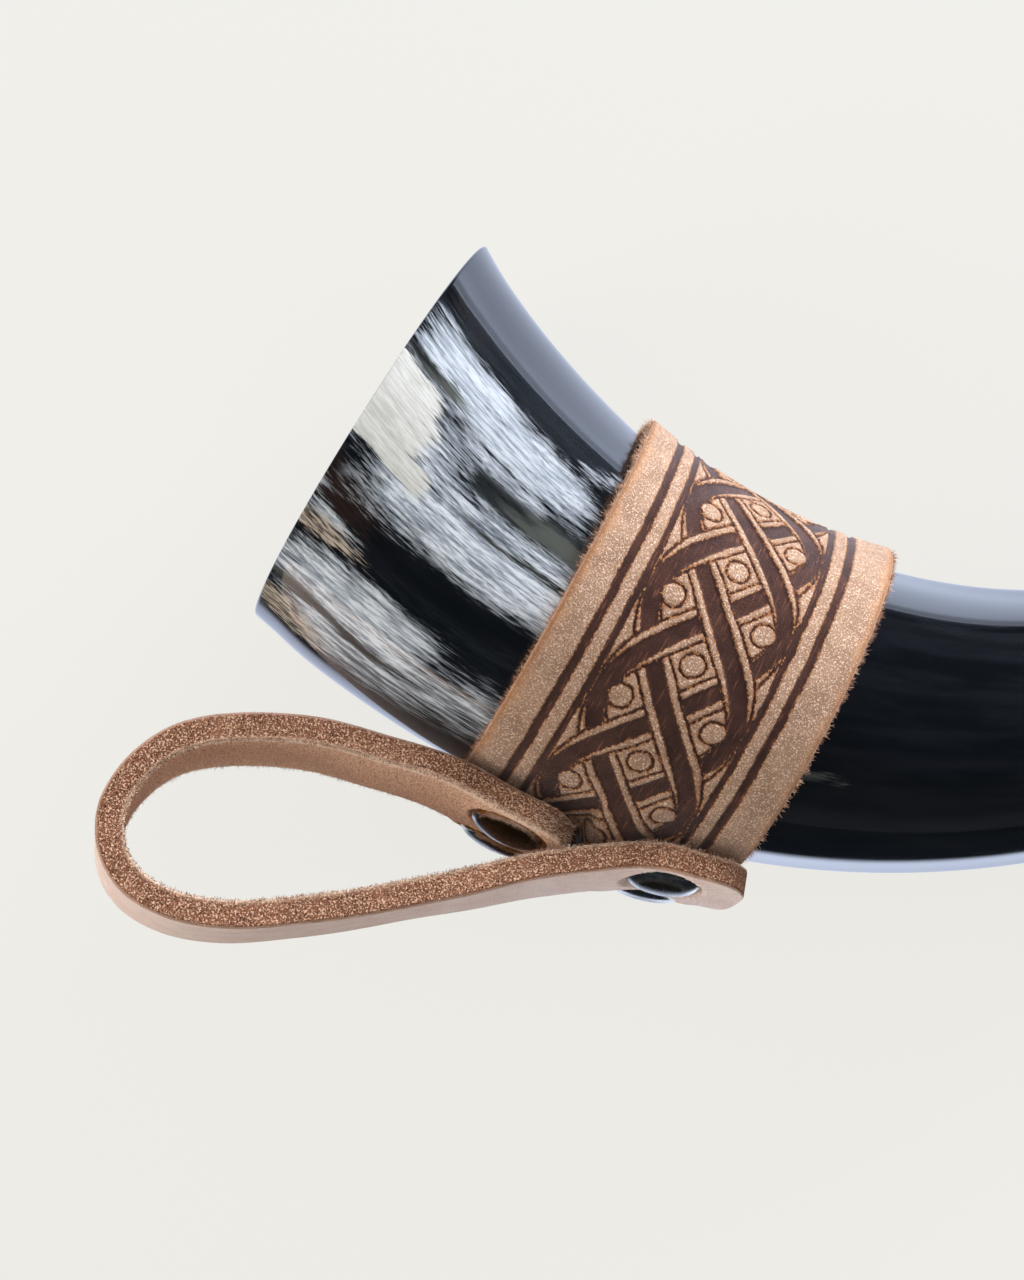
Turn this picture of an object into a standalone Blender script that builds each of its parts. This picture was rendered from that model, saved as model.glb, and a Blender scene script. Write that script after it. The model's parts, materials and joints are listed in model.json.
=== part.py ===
"""A drinking horn in its riveted leather belt holder, lying on its side.

The horn's centreline is one circular arc, so the horn draws out of the holder's cuff by
turning about the axis of that arc. The pieces are modelled in the bend frame: its Z axis
is the bend axis, and the centreline runs in its XY plane. The whole assembly is then laid
on its side, so that mouth, cuff and tip rest on Z = 0 and the mouth faces -X.
"""

import math

import bmesh
import bpy
from mathutils import Matrix, Vector

# Driving dimensions, in metres and degrees

# Horn
BEND_RADIUS = 0.125
HORN_LENGTH = 0.300
MOUTH_DIAMETER = 0.0676
TIP_DIAMETER = 0.013
MOUTH_HEADING = -19.6
RIM_WALL = 0.0026
RIM_ROUND = 0.0006
CUP_DEPTH = 0.200
CUP_ROUNDNESS = 4.0
SLANT_END_GAP = 0.0065

# Cuff
CUFF_FROM_MOUTH = 0.0401
CUFF_WIDTH = 0.0464
CUFF_THICKNESS = 0.0032
CUFF_EDGE_ROUND = 0.0009
CUFF_LEAN = -6.0
CUFF_NOD = -1.0
CUFF_SEAM = 0.0016

# Strap
STRAP_WIDTH = 0.032
STRAP_THICKNESS = 0.0045
STRAP_EDGE_ROUND = 0.0004
STRAP_CORNER_RADIUS = 0.007
STRAP_CLOCK = 6.0
STRAP_CUP_RADIUS = 0.075
FAR_SEAT_LENGTH = 0.0150
FAR_CUP_LENGTH = 0.0340
FAR_END_OVERHANG = 0.0012
NEAR_SEAT_LENGTH = 0.0208
NEAR_SEAT_LIFT = 0.0007
CUP_FADE = 0.030
STRAP_CROSSING_GAP = 0.0011

# Loop of the strap: distance past the cuff's mouth edge, height off the near seat
LOOP_POINTS = (
    (-0.0112, 0.0124),
    (0.0003, 0.0207),
    (0.0103, 0.0280),
    (0.0207, 0.0346),
    (0.0294, 0.0375),
    (0.0365, 0.0372),
    (0.0413, 0.0342),
    (0.0442, 0.0289),
    (0.0441, 0.0225),
    (0.0417, 0.0163),
    (0.0379, 0.0119),
    (0.0305, 0.0070),
    (0.0221, 0.0035),
    (0.0110, 0.0016),
)

# Rivets
NEAR_RIVET_INSET = 0.0114
FAR_RIVET_INSET = 0.0130
RIVET_SPREAD = 0.0155
RIVET_SPLAY = 9.0
CAP_DIAMETER = 0.0125
CAP_HEIGHT = 0.0022
CAP_EDGE = 0.0006
CAP_SINK = 0.0010
POST_DIAMETER = 0.0024
BASE_DIAMETER = 0.0100
BASE_THICKNESS = 0.0010
BASE_RECESS = 0.0005
TUBE_WALL = 0.0005

# Clearances
FIT_GAP = 0.0003
CUT_MARGIN = 0.0015

# Mesh fineness
HORN_SEGMENTS = 40
OUTER_RINGS = 30
INNER_RINGS = 20
TIP_RINGS = 5
CUFF_STEPS = 60
CUFF_COLUMNS = 5
EDGE_STEPS = 2
STRAP_STEP = 0.0034
STRAP_COLUMNS = 6
CORNER_STEPS = 5
CURVE_STEPS = 40
RIVET_SEGMENTS = 20
DOME_RINGS = 4

# Colours and finishes: base colour, roughness, metallic
HORN_FINISH = ((0.018, 0.019, 0.022), 0.18, 0.0)
CUFF_FINISH = ((0.235, 0.105, 0.060), 0.62, 0.0)
STRAP_FINISH = ((0.360, 0.190, 0.115), 0.75, 0.0)
RIVET_FINISH = ((0.560, 0.540, 0.500), 0.25, 1.0)

UP = Vector((0.0, 0.0, 1.0))
MOUTH_RADIUS = MOUTH_DIAMETER / 2
TIP_RADIUS = TIP_DIAMETER / 2
CUFF_START = CUFF_FROM_MOUTH
CUFF_END = CUFF_FROM_MOUTH + CUFF_WIDTH
CUFF_MIDDLE = (CUFF_START + CUFF_END) / 2


# The horn's centreline and skin, by distance s from the mouth along the centreline

def heading(s):
    return math.radians(MOUTH_HEADING) + s / BEND_RADIUS


def centre(s):
    angle = heading(s)
    return BEND_RADIUS * Vector((math.sin(angle), -math.cos(angle), 0.0))


def tangent(s):
    angle = heading(s)
    return Vector((math.cos(angle), math.sin(angle), 0.0))


def spoke(s, turn):
    """Unit vector square to the centreline: turn 0 points out of the bend, 90 degrees up."""
    angle = heading(s)
    outward = Vector((math.sin(angle), -math.cos(angle), 0.0))
    return math.cos(turn) * outward + math.sin(turn) * UP


def horn_radius(s):
    share = min(max(s / HORN_LENGTH, 0.0), 1.0)
    return MOUTH_RADIUS - (MOUTH_RADIUS - TIP_RADIUS) * share


def skin_point(s, turn, offset):
    return centre(s) + spoke(s, turn) * (horn_radius(s) + offset)


def smooth_step(share):
    share = min(max(share, 0.0), 1.0)
    return share * share * (3 - 2 * share)


# The pose at rest

def table_normal():
    """Up direction of the table that touches the mouth, the cuff's far edge and the tip."""
    cuff_radius = horn_radius(CUFF_END) + FIT_GAP + CUFF_THICKNESS
    balls = (
        (centre(0.0), MOUTH_RADIUS),
        (centre(CUFF_END), cuff_radius),
        (centre(HORN_LENGTH - TIP_RADIUS), TIP_RADIUS),
    )
    rows = Matrix([(point.x, point.y, -1.0) for point, _ in balls])
    lean_x, lean_y, _ = rows.inverted() @ Vector([radius for _, radius in balls])
    return Vector((lean_x, lean_y, math.sqrt(1 - lean_x**2 - lean_y**2)))


def lying_rotation():
    return table_normal().rotation_difference(UP).to_matrix()


def rim_axis():
    """World +X in the bend frame: the mouth is cut upright and faces -X when the horn lies down."""
    return lying_rotation().inverted() @ Vector((1.0, 0.0, 0.0))


# Mesh helpers

def material(name, finish):
    colour, roughness, metallic = finish
    made = bpy.data.materials.new(name)
    made.use_nodes = True
    shader = made.node_tree.nodes["Principled BSDF"]
    shader.inputs["Base Color"].default_value = (*colour, 1.0)
    shader.inputs["Roughness"].default_value = roughness
    shader.inputs["Metallic"].default_value = metallic
    made.diffuse_color = (*colour, 1.0)
    return made


def add_object(name, bm, finish_material, parent, smooth_angle=35.0):
    bmesh.ops.recalc_face_normals(bm, faces=bm.faces)
    mesh = bpy.data.meshes.new(name)
    bm.to_mesh(mesh)
    bm.free()
    mesh.shade_smooth()
    mesh.set_sharp_from_angle(angle=math.radians(smooth_angle))
    if finish_material:
        mesh.materials.append(finish_material)
    made = bpy.data.objects.new(name, mesh)
    bpy.context.scene.collection.objects.link(made)
    made.parent = parent
    return made


def add_empty(name, parent=None):
    made = bpy.data.objects.new(name, None)
    bpy.context.scene.collection.objects.link(made)
    made.parent = parent
    return made


def skin_rings(rings):
    """Joins rings of points, in order. A ring of one point is a pole, and the ends are closed."""
    bm = bmesh.new()
    made = [[bm.verts.new(point) for point in ring] for ring in rings]
    for one, two in zip(made, made[1:]):
        count = max(len(one), len(two))
        for i in range(count):
            j = (i + 1) % count
            corners = [one[i % len(one)], one[j % len(one)], two[j % len(two)], two[i % len(two)]]
            bm.faces.new(list(dict.fromkeys(corners)))
    for end in (made[0], made[-1]):
        if len(end) > 1:
            bm.faces.new(end)
    return bm


def turned(profile):
    """A rivet's solid turned about Z from (radius, height) points that start and end on the axis."""
    rings = []
    for radius, height in profile:
        if radius == 0.0:
            rings.append([Vector((0.0, 0.0, height))])
            continue
        angles = [math.tau * i / RIVET_SEGMENTS for i in range(RIVET_SEGMENTS)]
        rings.append([Vector((radius * math.cos(a), radius * math.sin(a), height)) for a in angles])
    return skin_rings(rings)


def cut(target, cutter):
    cutter.hide_render = True
    cutter.display_type = "WIRE"
    boolean = target.modifiers.new(cutter.name, "BOOLEAN")
    boolean.operation = "DIFFERENCE"
    boolean.object = cutter


# Horn

def horn_ring(s, radius):
    """Ring round the centreline, slanting from the upright mouth cut to square before the cuff."""
    along = tangent(s)
    fade = smooth_step(s / (CUFF_START - SLANT_END_GAP))
    across = rim_axis().lerp(along, fade).normalized()
    ring = []
    for i in range(HORN_SEGMENTS):
        out = spoke(s, math.tau * i / HORN_SEGMENTS)
        shear = out.dot(across) / along.dot(across)
        ring.append(centre(s) + radius * (out - shear * along))
    return ring


def cup_radius(s):
    share = min(s / CUP_DEPTH, 1.0)
    return (horn_radius(s) - RIM_WALL) * math.sqrt(max(0.0, 1 - share**CUP_ROUNDNESS))


def build_horn(parent, finish):
    shoulder = HORN_LENGTH - TIP_RADIUS
    rings = [[centre(HORN_LENGTH)]]
    for i in range(TIP_RINGS - 1, -1, -1):
        rise = math.sin(math.pi / 2 * i / TIP_RINGS)
        s = shoulder + TIP_RADIUS * rise
        rings.append(horn_ring(s, horn_radius(s) * math.sqrt(1 - rise**2)))
    for i in range(OUTER_RINGS - 1, 0, -1):
        s = RIM_ROUND + (shoulder - RIM_ROUND) * i / OUTER_RINGS
        rings.append(horn_ring(s, horn_radius(s)))
    inner_edge = MOUTH_RADIUS - RIM_WALL
    rings.append(horn_ring(RIM_ROUND, MOUTH_RADIUS))
    rings.append(horn_ring(0.0, MOUTH_RADIUS - RIM_ROUND))
    rings.append(horn_ring(0.0, inner_edge + RIM_ROUND))
    rings.append(horn_ring(RIM_ROUND, inner_edge))
    for i in range(1, INNER_RINGS):
        share = math.sin(math.pi / 2 * i / INNER_RINGS)
        s = RIM_ROUND + (CUP_DEPTH - RIM_ROUND) * share
        rings.append(horn_ring(s, cup_radius(s)))
    rings.append([centre(CUP_DEPTH)])
    return add_object("horn", skin_rings(rings), finish, parent)


# Cuff

def band_axis():
    """Axis that both edges of the cuff are cut square to: it leans in the bend's plane and nods out of it."""
    level = Matrix.Rotation(math.radians(CUFF_LEAN), 3, "Z") @ tangent(CUFF_MIDDLE)
    nod = math.radians(CUFF_NOD)
    return math.cos(nod) * level - math.sin(nod) * UP


def band_edge(s, turn):
    """Where the cuff's straight-cut edge that crosses the centreline at s lies at this turn."""
    out = spoke(s, turn)
    radius = horn_radius(s)
    run = -radius * out.dot(band_axis()) / tangent(s).dot(band_axis())
    return s + run * BEND_RADIUS / (BEND_RADIUS + radius * math.cos(turn))


def cuff_section(turn):
    """One radial section of the cuff: along its inside, then back along its rounded outside."""
    first = band_edge(CUFF_START, turn)
    last = band_edge(CUFF_END, turn)
    outside = FIT_GAP + CUFF_THICKNESS
    inside = [first + (last - first) * i / CUFF_COLUMNS for i in range(CUFF_COLUMNS + 1)]
    section = [skin_point(s, turn, FIT_GAP) for s in inside]
    for i in range(EDGE_STEPS + 1):
        angle = math.pi / 2 * i / EDGE_STEPS
        s = last - CUFF_EDGE_ROUND * (1 - math.cos(angle))
        section.append(skin_point(s, turn, outside - CUFF_EDGE_ROUND * (1 - math.sin(angle))))
    for s in reversed(inside[1:-1]):
        section.append(skin_point(s, turn, outside))
    for i in range(EDGE_STEPS, -1, -1):
        angle = math.pi / 2 * i / EDGE_STEPS
        s = first + CUFF_EDGE_ROUND * (1 - math.cos(angle))
        section.append(skin_point(s, turn, outside - CUFF_EDGE_ROUND * (1 - math.sin(angle))))
    return section


def build_cuff(parent, finish):
    clock = math.radians(STRAP_CLOCK)
    half_seam = CUFF_SEAM / 2 / horn_radius(CUFF_MIDDLE)
    sweep = math.tau - 2 * half_seam
    turns = [clock + half_seam + sweep * i / CUFF_STEPS for i in range(CUFF_STEPS + 1)]
    return add_object("cuff", skin_rings([cuff_section(turn) for turn in turns]), finish, parent)


# Strap

def strap_axes():
    """Origin and axes of the strap's plane: towards the mouth, away from the horn, across the strap."""
    towards_mouth = -band_axis()
    out = spoke(CUFF_MIDDLE, math.radians(STRAP_CLOCK))
    away = (out - out.dot(towards_mouth) * towards_mouth).normalized()
    return centre(CUFF_MIDDLE), towards_mouth, away, towards_mouth.cross(away)


def seat_point(edge, run, lift):
    """A point of the strap's mid-line on the cuff, run along its outside from an edge, in the strap's plane."""
    origin, towards_mouth, away, _ = strap_axes()
    offset = FIT_GAP + CUFF_THICKNESS + FIT_GAP + STRAP_THICKNESS / 2
    clock = math.radians(STRAP_CLOCK)
    start = band_edge(edge, clock)
    s = start + run * BEND_RADIUS / (BEND_RADIUS + horn_radius(start) + offset)
    point = skin_point(s, clock, offset + lift) - origin
    return Vector((point.dot(towards_mouth), point.dot(away)))


def strap_route():
    """Points of the mid-line: the far seat, over the near seat's end, round the loop, the near seat."""
    thirds = (0.0, 0.5, 1.0)
    far_seat = [seat_point(CUFF_END, FAR_END_OVERHANG - FAR_SEAT_LENGTH * share, 0.0) for share in thirds]
    near_seat = [seat_point(CUFF_START, NEAR_SEAT_LENGTH * share, NEAR_SEAT_LIFT * share) for share in thirds]
    over = near_seat[2] + Vector((0.0, STRAP_THICKNESS + STRAP_CROSSING_GAP))
    loop = [near_seat[0] + Vector(point) for point in LOOP_POINTS]
    return far_seat + [over] + loop + near_seat


def smooth_line(points):
    """Fine points of a centripetal Catmull-Rom curve through the given points, and the length up to each."""
    padded = [2 * points[0] - points[1], *points, 2 * points[-1] - points[-2]]
    fine = []
    for p0, p1, p2, p3 in zip(padded, padded[1:], padded[2:], padded[3:]):
        t1 = math.sqrt((p1 - p0).length)
        t2 = t1 + math.sqrt((p2 - p1).length)
        t3 = t2 + math.sqrt((p3 - p2).length)
        for i in range(CURVE_STEPS):
            t = t1 + (t2 - t1) * i / CURVE_STEPS
            a1 = p0.lerp(p1, t / t1)
            a2 = p1.lerp(p2, (t - t1) / (t2 - t1))
            a3 = p2.lerp(p3, (t - t2) / (t3 - t2))
            b1 = a1.lerp(a2, t / t2)
            b2 = a2.lerp(a3, (t - t1) / (t3 - t1))
            fine.append(b1.lerp(b2, (t - t1) / (t2 - t1)))
    fine.append(points[-1])
    lengths = [0.0]
    for one, two in zip(fine, fine[1:]):
        lengths.append(lengths[-1] + (two - one).length)
    return fine, lengths


def at_length(fine, lengths, distance):
    """Point and direction of the line at a distance along it."""
    i = 0
    while i < len(lengths) - 2 and lengths[i + 1] < distance:
        i += 1
    share = (distance - lengths[i]) / (lengths[i + 1] - lengths[i])
    return fine[i].lerp(fine[i + 1], share), (fine[i + 1] - fine[i]).normalized()


def half_width(from_end):
    """Half the strap's width, which the rounded corners take in near its ends."""
    inset = max(0.0, STRAP_CORNER_RADIUS - from_end)
    return STRAP_WIDTH / 2 - STRAP_CORNER_RADIUS + math.sqrt(STRAP_CORNER_RADIUS**2 - inset**2)


def cup_curve(distance, length):
    """Signed curvature across the strap: slightly cupped over the cuff and the near seat, flat in the loop."""
    far = 1 - smooth_step((distance - FAR_CUP_LENGTH) / CUP_FADE)
    near = 1 - smooth_step((length - distance - NEAR_SEAT_LENGTH) / CUP_FADE)
    return (far - near) / STRAP_CUP_RADIUS


def strap_frame(line, distance):
    """Mid-line point of the strap, and its grain-side and across directions, in the bend frame."""
    origin, towards_mouth, away, across = strap_axes()
    point, direction = at_length(*line, distance)
    middle = origin + point.x * towards_mouth + point.y * away
    grain = -direction.y * towards_mouth + direction.x * away
    return middle, grain, across


def strap_point(line, distance, w, h):
    """Point of the strap: w across from its mid-line, h from its middle towards the grain side."""
    middle, grain, across = strap_frame(line, distance)
    curve = cup_curve(distance, line[1][-1])
    if abs(curve) < 1e-6:
        return middle + w * across + h * grain
    reach = 1 / curve + h
    return middle + reach * math.sin(w * curve) * across + (reach * math.cos(w * curve) - 1 / curve) * grain


def strap_section(line, distance):
    half = half_width(min(distance, line[1][-1] - distance))
    thick = STRAP_THICKNESS / 2
    flat = half - STRAP_EDGE_ROUND
    edge = thick - STRAP_EDGE_ROUND
    columns = [flat * (2 * i / STRAP_COLUMNS - 1) for i in range(STRAP_COLUMNS + 1)]
    outline = [(w, thick) for w in columns] + [(half, edge), (half, -edge)]
    outline += [(w, -thick) for w in reversed(columns)] + [(-half, -edge), (-half, edge)]
    return [strap_point(line, distance, w, h) for w, h in outline]


def build_strap(parent, finish, line):
    length = line[1][-1]
    corner = [STRAP_CORNER_RADIUS * (1 - math.cos(math.pi / 2 * i / CORNER_STEPS)) for i in range(CORNER_STEPS)]
    run = length - 2 * STRAP_CORNER_RADIUS
    count = round(run / STRAP_STEP)
    middle = [STRAP_CORNER_RADIUS + run * i / count for i in range(count + 1)]
    stations = corner + middle + [length - d for d in reversed(corner)]
    return add_object("strap", skin_rings([strap_section(line, d) for d in stations]), finish, parent)


# Rivets: heights are measured from the cuff's inside, along the rivet. The grip is the
# height of the strap's outer face.

TUBE_BORE_RADIUS = POST_DIAMETER / 2 + FIT_GAP
TUBE_RADIUS = TUBE_BORE_RADIUS + TUBE_WALL
HOLE_RADIUS = TUBE_RADIUS + FIT_GAP
BASE_TOP = BASE_RECESS + BASE_THICKNESS


def cap_profile(grip):
    radius = CAP_DIAMETER / 2
    underside = grip - CAP_SINK + FIT_GAP
    rim = underside + CAP_EDGE
    dome = []
    for i in range(DOME_RINGS + 1):
        angle = math.pi / 2 * i / DOME_RINGS
        dome.append((radius * math.sin(angle), rim + (CAP_HEIGHT - CAP_EDGE) * math.cos(angle)))
    post = POST_DIAMETER / 2
    foot = BASE_TOP + FIT_GAP
    return dome + [(radius, underside), (post, underside), (post, foot), (0.0, foot)]


def base_profile(grip):
    radius = BASE_DIAMETER / 2
    tube_top = grip - CAP_SINK
    return [
        (0.0, BASE_TOP),
        (TUBE_BORE_RADIUS, BASE_TOP),
        (TUBE_BORE_RADIUS, tube_top),
        (TUBE_RADIUS, tube_top),
        (TUBE_RADIUS, BASE_TOP),
        (radius, BASE_TOP),
        (radius, BASE_RECESS),
        (0.0, BASE_RECESS),
    ]


def strap_cut_profile(grip):
    wide = CAP_DIAMETER / 2 + FIT_GAP
    top = grip + CUT_MARGIN
    seat = grip - CAP_SINK
    start = grip - STRAP_THICKNESS - CUT_MARGIN
    return [(0.0, top), (wide, top), (wide, seat), (HOLE_RADIUS, seat), (HOLE_RADIUS, start), (0.0, start)]


def cuff_cut_profile(grip):
    wide = BASE_DIAMETER / 2 + FIT_GAP
    seat = BASE_TOP + FIT_GAP
    top = grip - STRAP_THICKNESS / 2
    start = -CUT_MARGIN
    return [(0.0, top), (HOLE_RADIUS, top), (HOLE_RADIUS, seat), (wide, seat), (wide, start), (0.0, start)]


def height_over_cuff_inside(point):
    s = (math.atan2(point.x, -point.y) - math.radians(MOUTH_HEADING)) * BEND_RADIUS
    reach = math.hypot(math.hypot(point.x, point.y) - BEND_RADIUS, point.z)
    return reach - horn_radius(s) - FIT_GAP


def rivet_places(line):
    """(name, matrix, grip) of each rivet: its origin on the cuff's inside, its Z axis out of the strap."""
    length = line[1][-1]
    splay = math.radians(RIVET_SPLAY)
    ends = (("tip", FAR_RIVET_INSET, 1), ("mouth", length - NEAR_SEAT_LENGTH + NEAR_RIVET_INSET, -1))
    places = []
    for end, distance, outer_side in ends:
        _, grain, across = strap_frame(line, distance)
        for side, sign in (("upper", 1), ("lower", -1)):
            axis = math.cos(splay) * outer_side * grain + sign * math.sin(splay) * across
            top = strap_point(line, distance, sign * RIVET_SPREAD / 2, outer_side * STRAP_THICKNESS / 2)
            grip = 0.0
            for _ in range(8):
                grip += height_over_cuff_inside(top - grip * axis)
            place = Matrix.Translation(top - grip * axis) @ axis.to_track_quat("Z", "X").to_matrix().to_4x4()
            places.append((f"{end}_{side}", place, grip))
    return places


def build_rivets(parent, cuff, strap, line, finish):
    for name, place, grip in rivet_places(line):
        cap = add_object(f"rivet_cap_{name}", turned(cap_profile(grip)), finish, parent)
        base = add_object(f"rivet_base_{name}", turned(base_profile(grip)), finish, parent)
        strap_cutter = add_object(f"strap_hole_{name}", turned(strap_cut_profile(grip)), None, parent)
        cuff_cutter = add_object(f"cuff_hole_{name}", turned(cuff_cut_profile(grip)), None, parent)
        for piece in (cap, base, strap_cutter, cuff_cutter):
            piece.matrix_local = place
        cut(strap, strap_cutter)
        cut(cuff, cuff_cutter)
        print(f"rivet {name} grip {grip * 1000:.2f} mm")


# Assembly

def world_box(pieces):
    """Lowest and highest corner of the finished pieces."""
    bpy.context.view_layer.update()
    graph = bpy.context.evaluated_depsgraph_get()
    points = []
    for piece in pieces:
        finished = piece.evaluated_get(graph)
        mesh = finished.to_mesh()
        points += [finished.matrix_world @ vertex.co for vertex in mesh.vertices]
        finished.to_mesh_clear()
    low = Vector(min(point[axis] for point in points) for axis in range(3))
    high = Vector(max(point[axis] for point in points) for axis in range(3))
    return low, high


def lay_down(assembly):
    """Turns the assembly on its side and stands it on Z = 0, centred over the origin."""
    assembly.matrix_world = lying_rotation().to_4x4()
    pieces = [child for child in assembly.children_recursive if child.type == "MESH" and not child.hide_render]
    low, high = world_box(pieces)
    assembly.location = Vector((-(low.x + high.x) / 2, -(low.y + high.y) / 2, -low.z))
    bpy.context.view_layer.update()


def main():
    for obj in list(bpy.data.objects):
        bpy.data.objects.remove(obj)
    horn_finish = material("polished_horn", HORN_FINISH)
    cuff_finish = material("tooled_leather", CUFF_FINISH)
    strap_finish = material("harness_leather", STRAP_FINISH)
    rivet_finish = material("rivet_metal", RIVET_FINISH)
    assembly = add_empty("assembly")
    holder = add_empty("holder", assembly)
    build_horn(assembly, horn_finish)
    cuff = build_cuff(holder, cuff_finish)
    line = smooth_line(strap_route())
    strap = build_strap(holder, strap_finish, line)
    build_rivets(holder, cuff, strap, line, rivet_finish)
    lay_down(assembly)
    print(f"strap length {line[1][-1] * 1000:.1f} mm")
    print("bend axis at", tuple(round(x, 5) for x in assembly.matrix_world.translation))
    print("bend axis along", tuple(round(x, 5) for x in assembly.matrix_world.to_3x3() @ UP))


main()
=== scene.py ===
"""Looks of the drinking horn in its leather belt holder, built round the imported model.

Every piece is shaped in the bend frame, where the horn's centreline is one circular arc,
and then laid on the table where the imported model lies.
"""

import itertools
import json
import math

import bmesh
import bpy
import numpy as np
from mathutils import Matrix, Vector


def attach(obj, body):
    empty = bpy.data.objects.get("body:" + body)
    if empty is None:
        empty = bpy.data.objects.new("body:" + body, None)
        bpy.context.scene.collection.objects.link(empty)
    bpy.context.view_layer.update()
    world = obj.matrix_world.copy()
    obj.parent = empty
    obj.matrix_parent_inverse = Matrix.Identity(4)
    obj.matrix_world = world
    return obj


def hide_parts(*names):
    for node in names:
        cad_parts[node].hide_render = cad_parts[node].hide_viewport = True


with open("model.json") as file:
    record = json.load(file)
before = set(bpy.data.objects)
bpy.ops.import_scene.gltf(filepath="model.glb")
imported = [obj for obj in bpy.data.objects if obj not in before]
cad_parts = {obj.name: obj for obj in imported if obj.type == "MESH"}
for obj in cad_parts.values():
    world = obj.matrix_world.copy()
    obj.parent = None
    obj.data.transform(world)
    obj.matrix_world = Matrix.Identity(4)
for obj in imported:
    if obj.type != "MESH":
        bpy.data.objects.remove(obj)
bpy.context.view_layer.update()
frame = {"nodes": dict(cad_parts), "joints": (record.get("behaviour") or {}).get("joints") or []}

MM = 0.001
UP = np.array((0.0, 0.0, 1.0))

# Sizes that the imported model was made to, in metres and degrees

BEND_RADIUS = 0.125
HORN_LENGTH = 0.300
MOUTH_RADIUS = 0.0338
TIP_RADIUS = 0.0065
MOUTH_HEADING = -19.6
RIM_WALL = 0.0026
RIM_ROUND = 0.0006
CUP_DEPTH = 0.200
CUP_ROUNDNESS = 4.0
SLANT_END = 0.0336

CUFF_START = 0.0401
CUFF_WIDTH = 0.0464
CUFF_END = CUFF_START + CUFF_WIDTH
CUFF_MIDDLE = CUFF_START + CUFF_WIDTH / 2
CUFF_THICKNESS = 0.0032
CUFF_EDGE_ROUND = 0.0009
CUFF_LEAN = -6.0
CUFF_NOD = -1.0
CUFF_SEAM = 0.0016

STRAP_WIDTH = 0.032
STRAP_THICKNESS = 0.0045
STRAP_EDGE_ROUND = 0.0004
STRAP_CORNER_RADIUS = 0.007
STRAP_CLOCK = 6.0
STRAP_CUP_RADIUS = 0.075
FAR_SEAT_LENGTH = 0.0150
FAR_CUP_LENGTH = 0.0340
FAR_END_OVERHANG = 0.0012
NEAR_SEAT_LENGTH = 0.0208
NEAR_SEAT_LIFT = 0.0007
CUP_FADE = 0.030
STRAP_CROSSING_GAP = 0.0011
LOOP_POINTS = (
    (-0.0112, 0.0124),
    (0.0003, 0.0207),
    (0.0103, 0.0280),
    (0.0207, 0.0346),
    (0.0294, 0.0375),
    (0.0365, 0.0372),
    (0.0413, 0.0342),
    (0.0442, 0.0289),
    (0.0441, 0.0225),
    (0.0417, 0.0163),
    (0.0379, 0.0119),
    (0.0305, 0.0070),
    (0.0221, 0.0035),
    (0.0110, 0.0016),
)

NEAR_RIVET_INSET = 0.0114
FAR_RIVET_INSET = 0.0130
RIVET_SPREAD = 0.0155
RIVET_SPLAY = 9.0
CAP_RADIUS = 0.00625
CAP_HEIGHT = 0.0022
CAP_EDGE = 0.0006
CAP_SINK = 0.0010
POST_RADIUS = 0.0012
BASE_RADIUS = 0.0050
BASE_TOP = 0.0015

FIT_GAP = 0.0003


# The bend frame and the way it lies on the table

draw_out = frame["joints"][0]
BEND_UP = -Vector(draw_out["axis"]).normalized()
LYING = np.array(Vector(UP).rotation_difference(BEND_UP).to_matrix())
BEND_MIDDLE = np.array(draw_out["pos_m"])


def lay_down(points):
    """Points of the bend frame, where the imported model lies."""
    return points @ LYING.T + BEND_MIDDLE


def heading(s):
    """Angle of the centreline at a distance s from the mouth."""
    return math.radians(MOUTH_HEADING) + np.asarray(s, float) / BEND_RADIUS


def outward(s):
    angle = heading(s)
    return np.stack((np.sin(angle), -np.cos(angle), 0 * angle), -1)


def tangent(s):
    angle = heading(s)
    return np.stack((np.cos(angle), np.sin(angle), 0 * angle), -1)


def spoke(s, turn):
    """Square to the centreline: turn 0 points out of the bend, a quarter turn points up."""
    turn = np.asarray(turn, float)
    return np.cos(turn)[..., None] * outward(s) + np.sin(turn)[..., None] * UP


def horn_radius(s):
    share = np.clip(np.asarray(s, float) / HORN_LENGTH, 0.0, 1.0)
    return MOUTH_RADIUS - (MOUTH_RADIUS - TIP_RADIUS) * share


def skin_point(s, turn, offset):
    reach = np.asarray(horn_radius(s) + offset)
    return BEND_RADIUS * outward(s) + spoke(s, turn) * reach[..., None]


# Plain shape helpers

def smooth_step(share):
    share = np.clip(share, 0.0, 1.0)
    return share * share * (3 - 2 * share)


def ramp(value, low, high):
    return smooth_step((value - low) / (high - low))


def aimed(ways):
    """The same directions, of length 1."""
    return ways / np.linalg.norm(ways, axis=-1, keepdims=True)


def angle_off_zero(angle):
    """How far an angle lies from 0, at most half a turn."""
    return np.abs((angle + math.pi) % math.tau - math.pi)


def quarter(count):
    """Angles from 0 to a quarter turn."""
    return np.linspace(0, math.pi / 2, count)


# Lumps: smooth random waves through space, the same at every run. A set of waves is given
# as height, size in metres and layer. The size may differ along the three axes.

LUMP_CELLS = 32
LUMP_TABLE = np.random.default_rng(11).random((LUMP_CELLS, LUMP_CELLS, LUMP_CELLS)) * 2 - 1
LAYER_SHIFT = 7.31


def lumps(points, size, layer):
    """Waves of about this size, between -1 and 1. Each layer is a different set of waves."""
    place = points / size + LAYER_SHIFT * layer
    corner = np.floor(place).astype(int)
    part = smooth_step(place - corner)
    total = 0.0
    for step in itertools.product((0, 1), repeat=3):
        weight = np.prod(np.where(step, part, 1 - part), axis=-1)
        i, j, k = np.moveaxis((corner + step) % LUMP_CELLS, -1, 0)
        total = total + weight * LUMP_TABLE[i, j, k]
    return total


def waves(points, sets):
    return sum(height * lumps(points, size, layer) for height, size, layer in sets)


# Pieces

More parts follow.
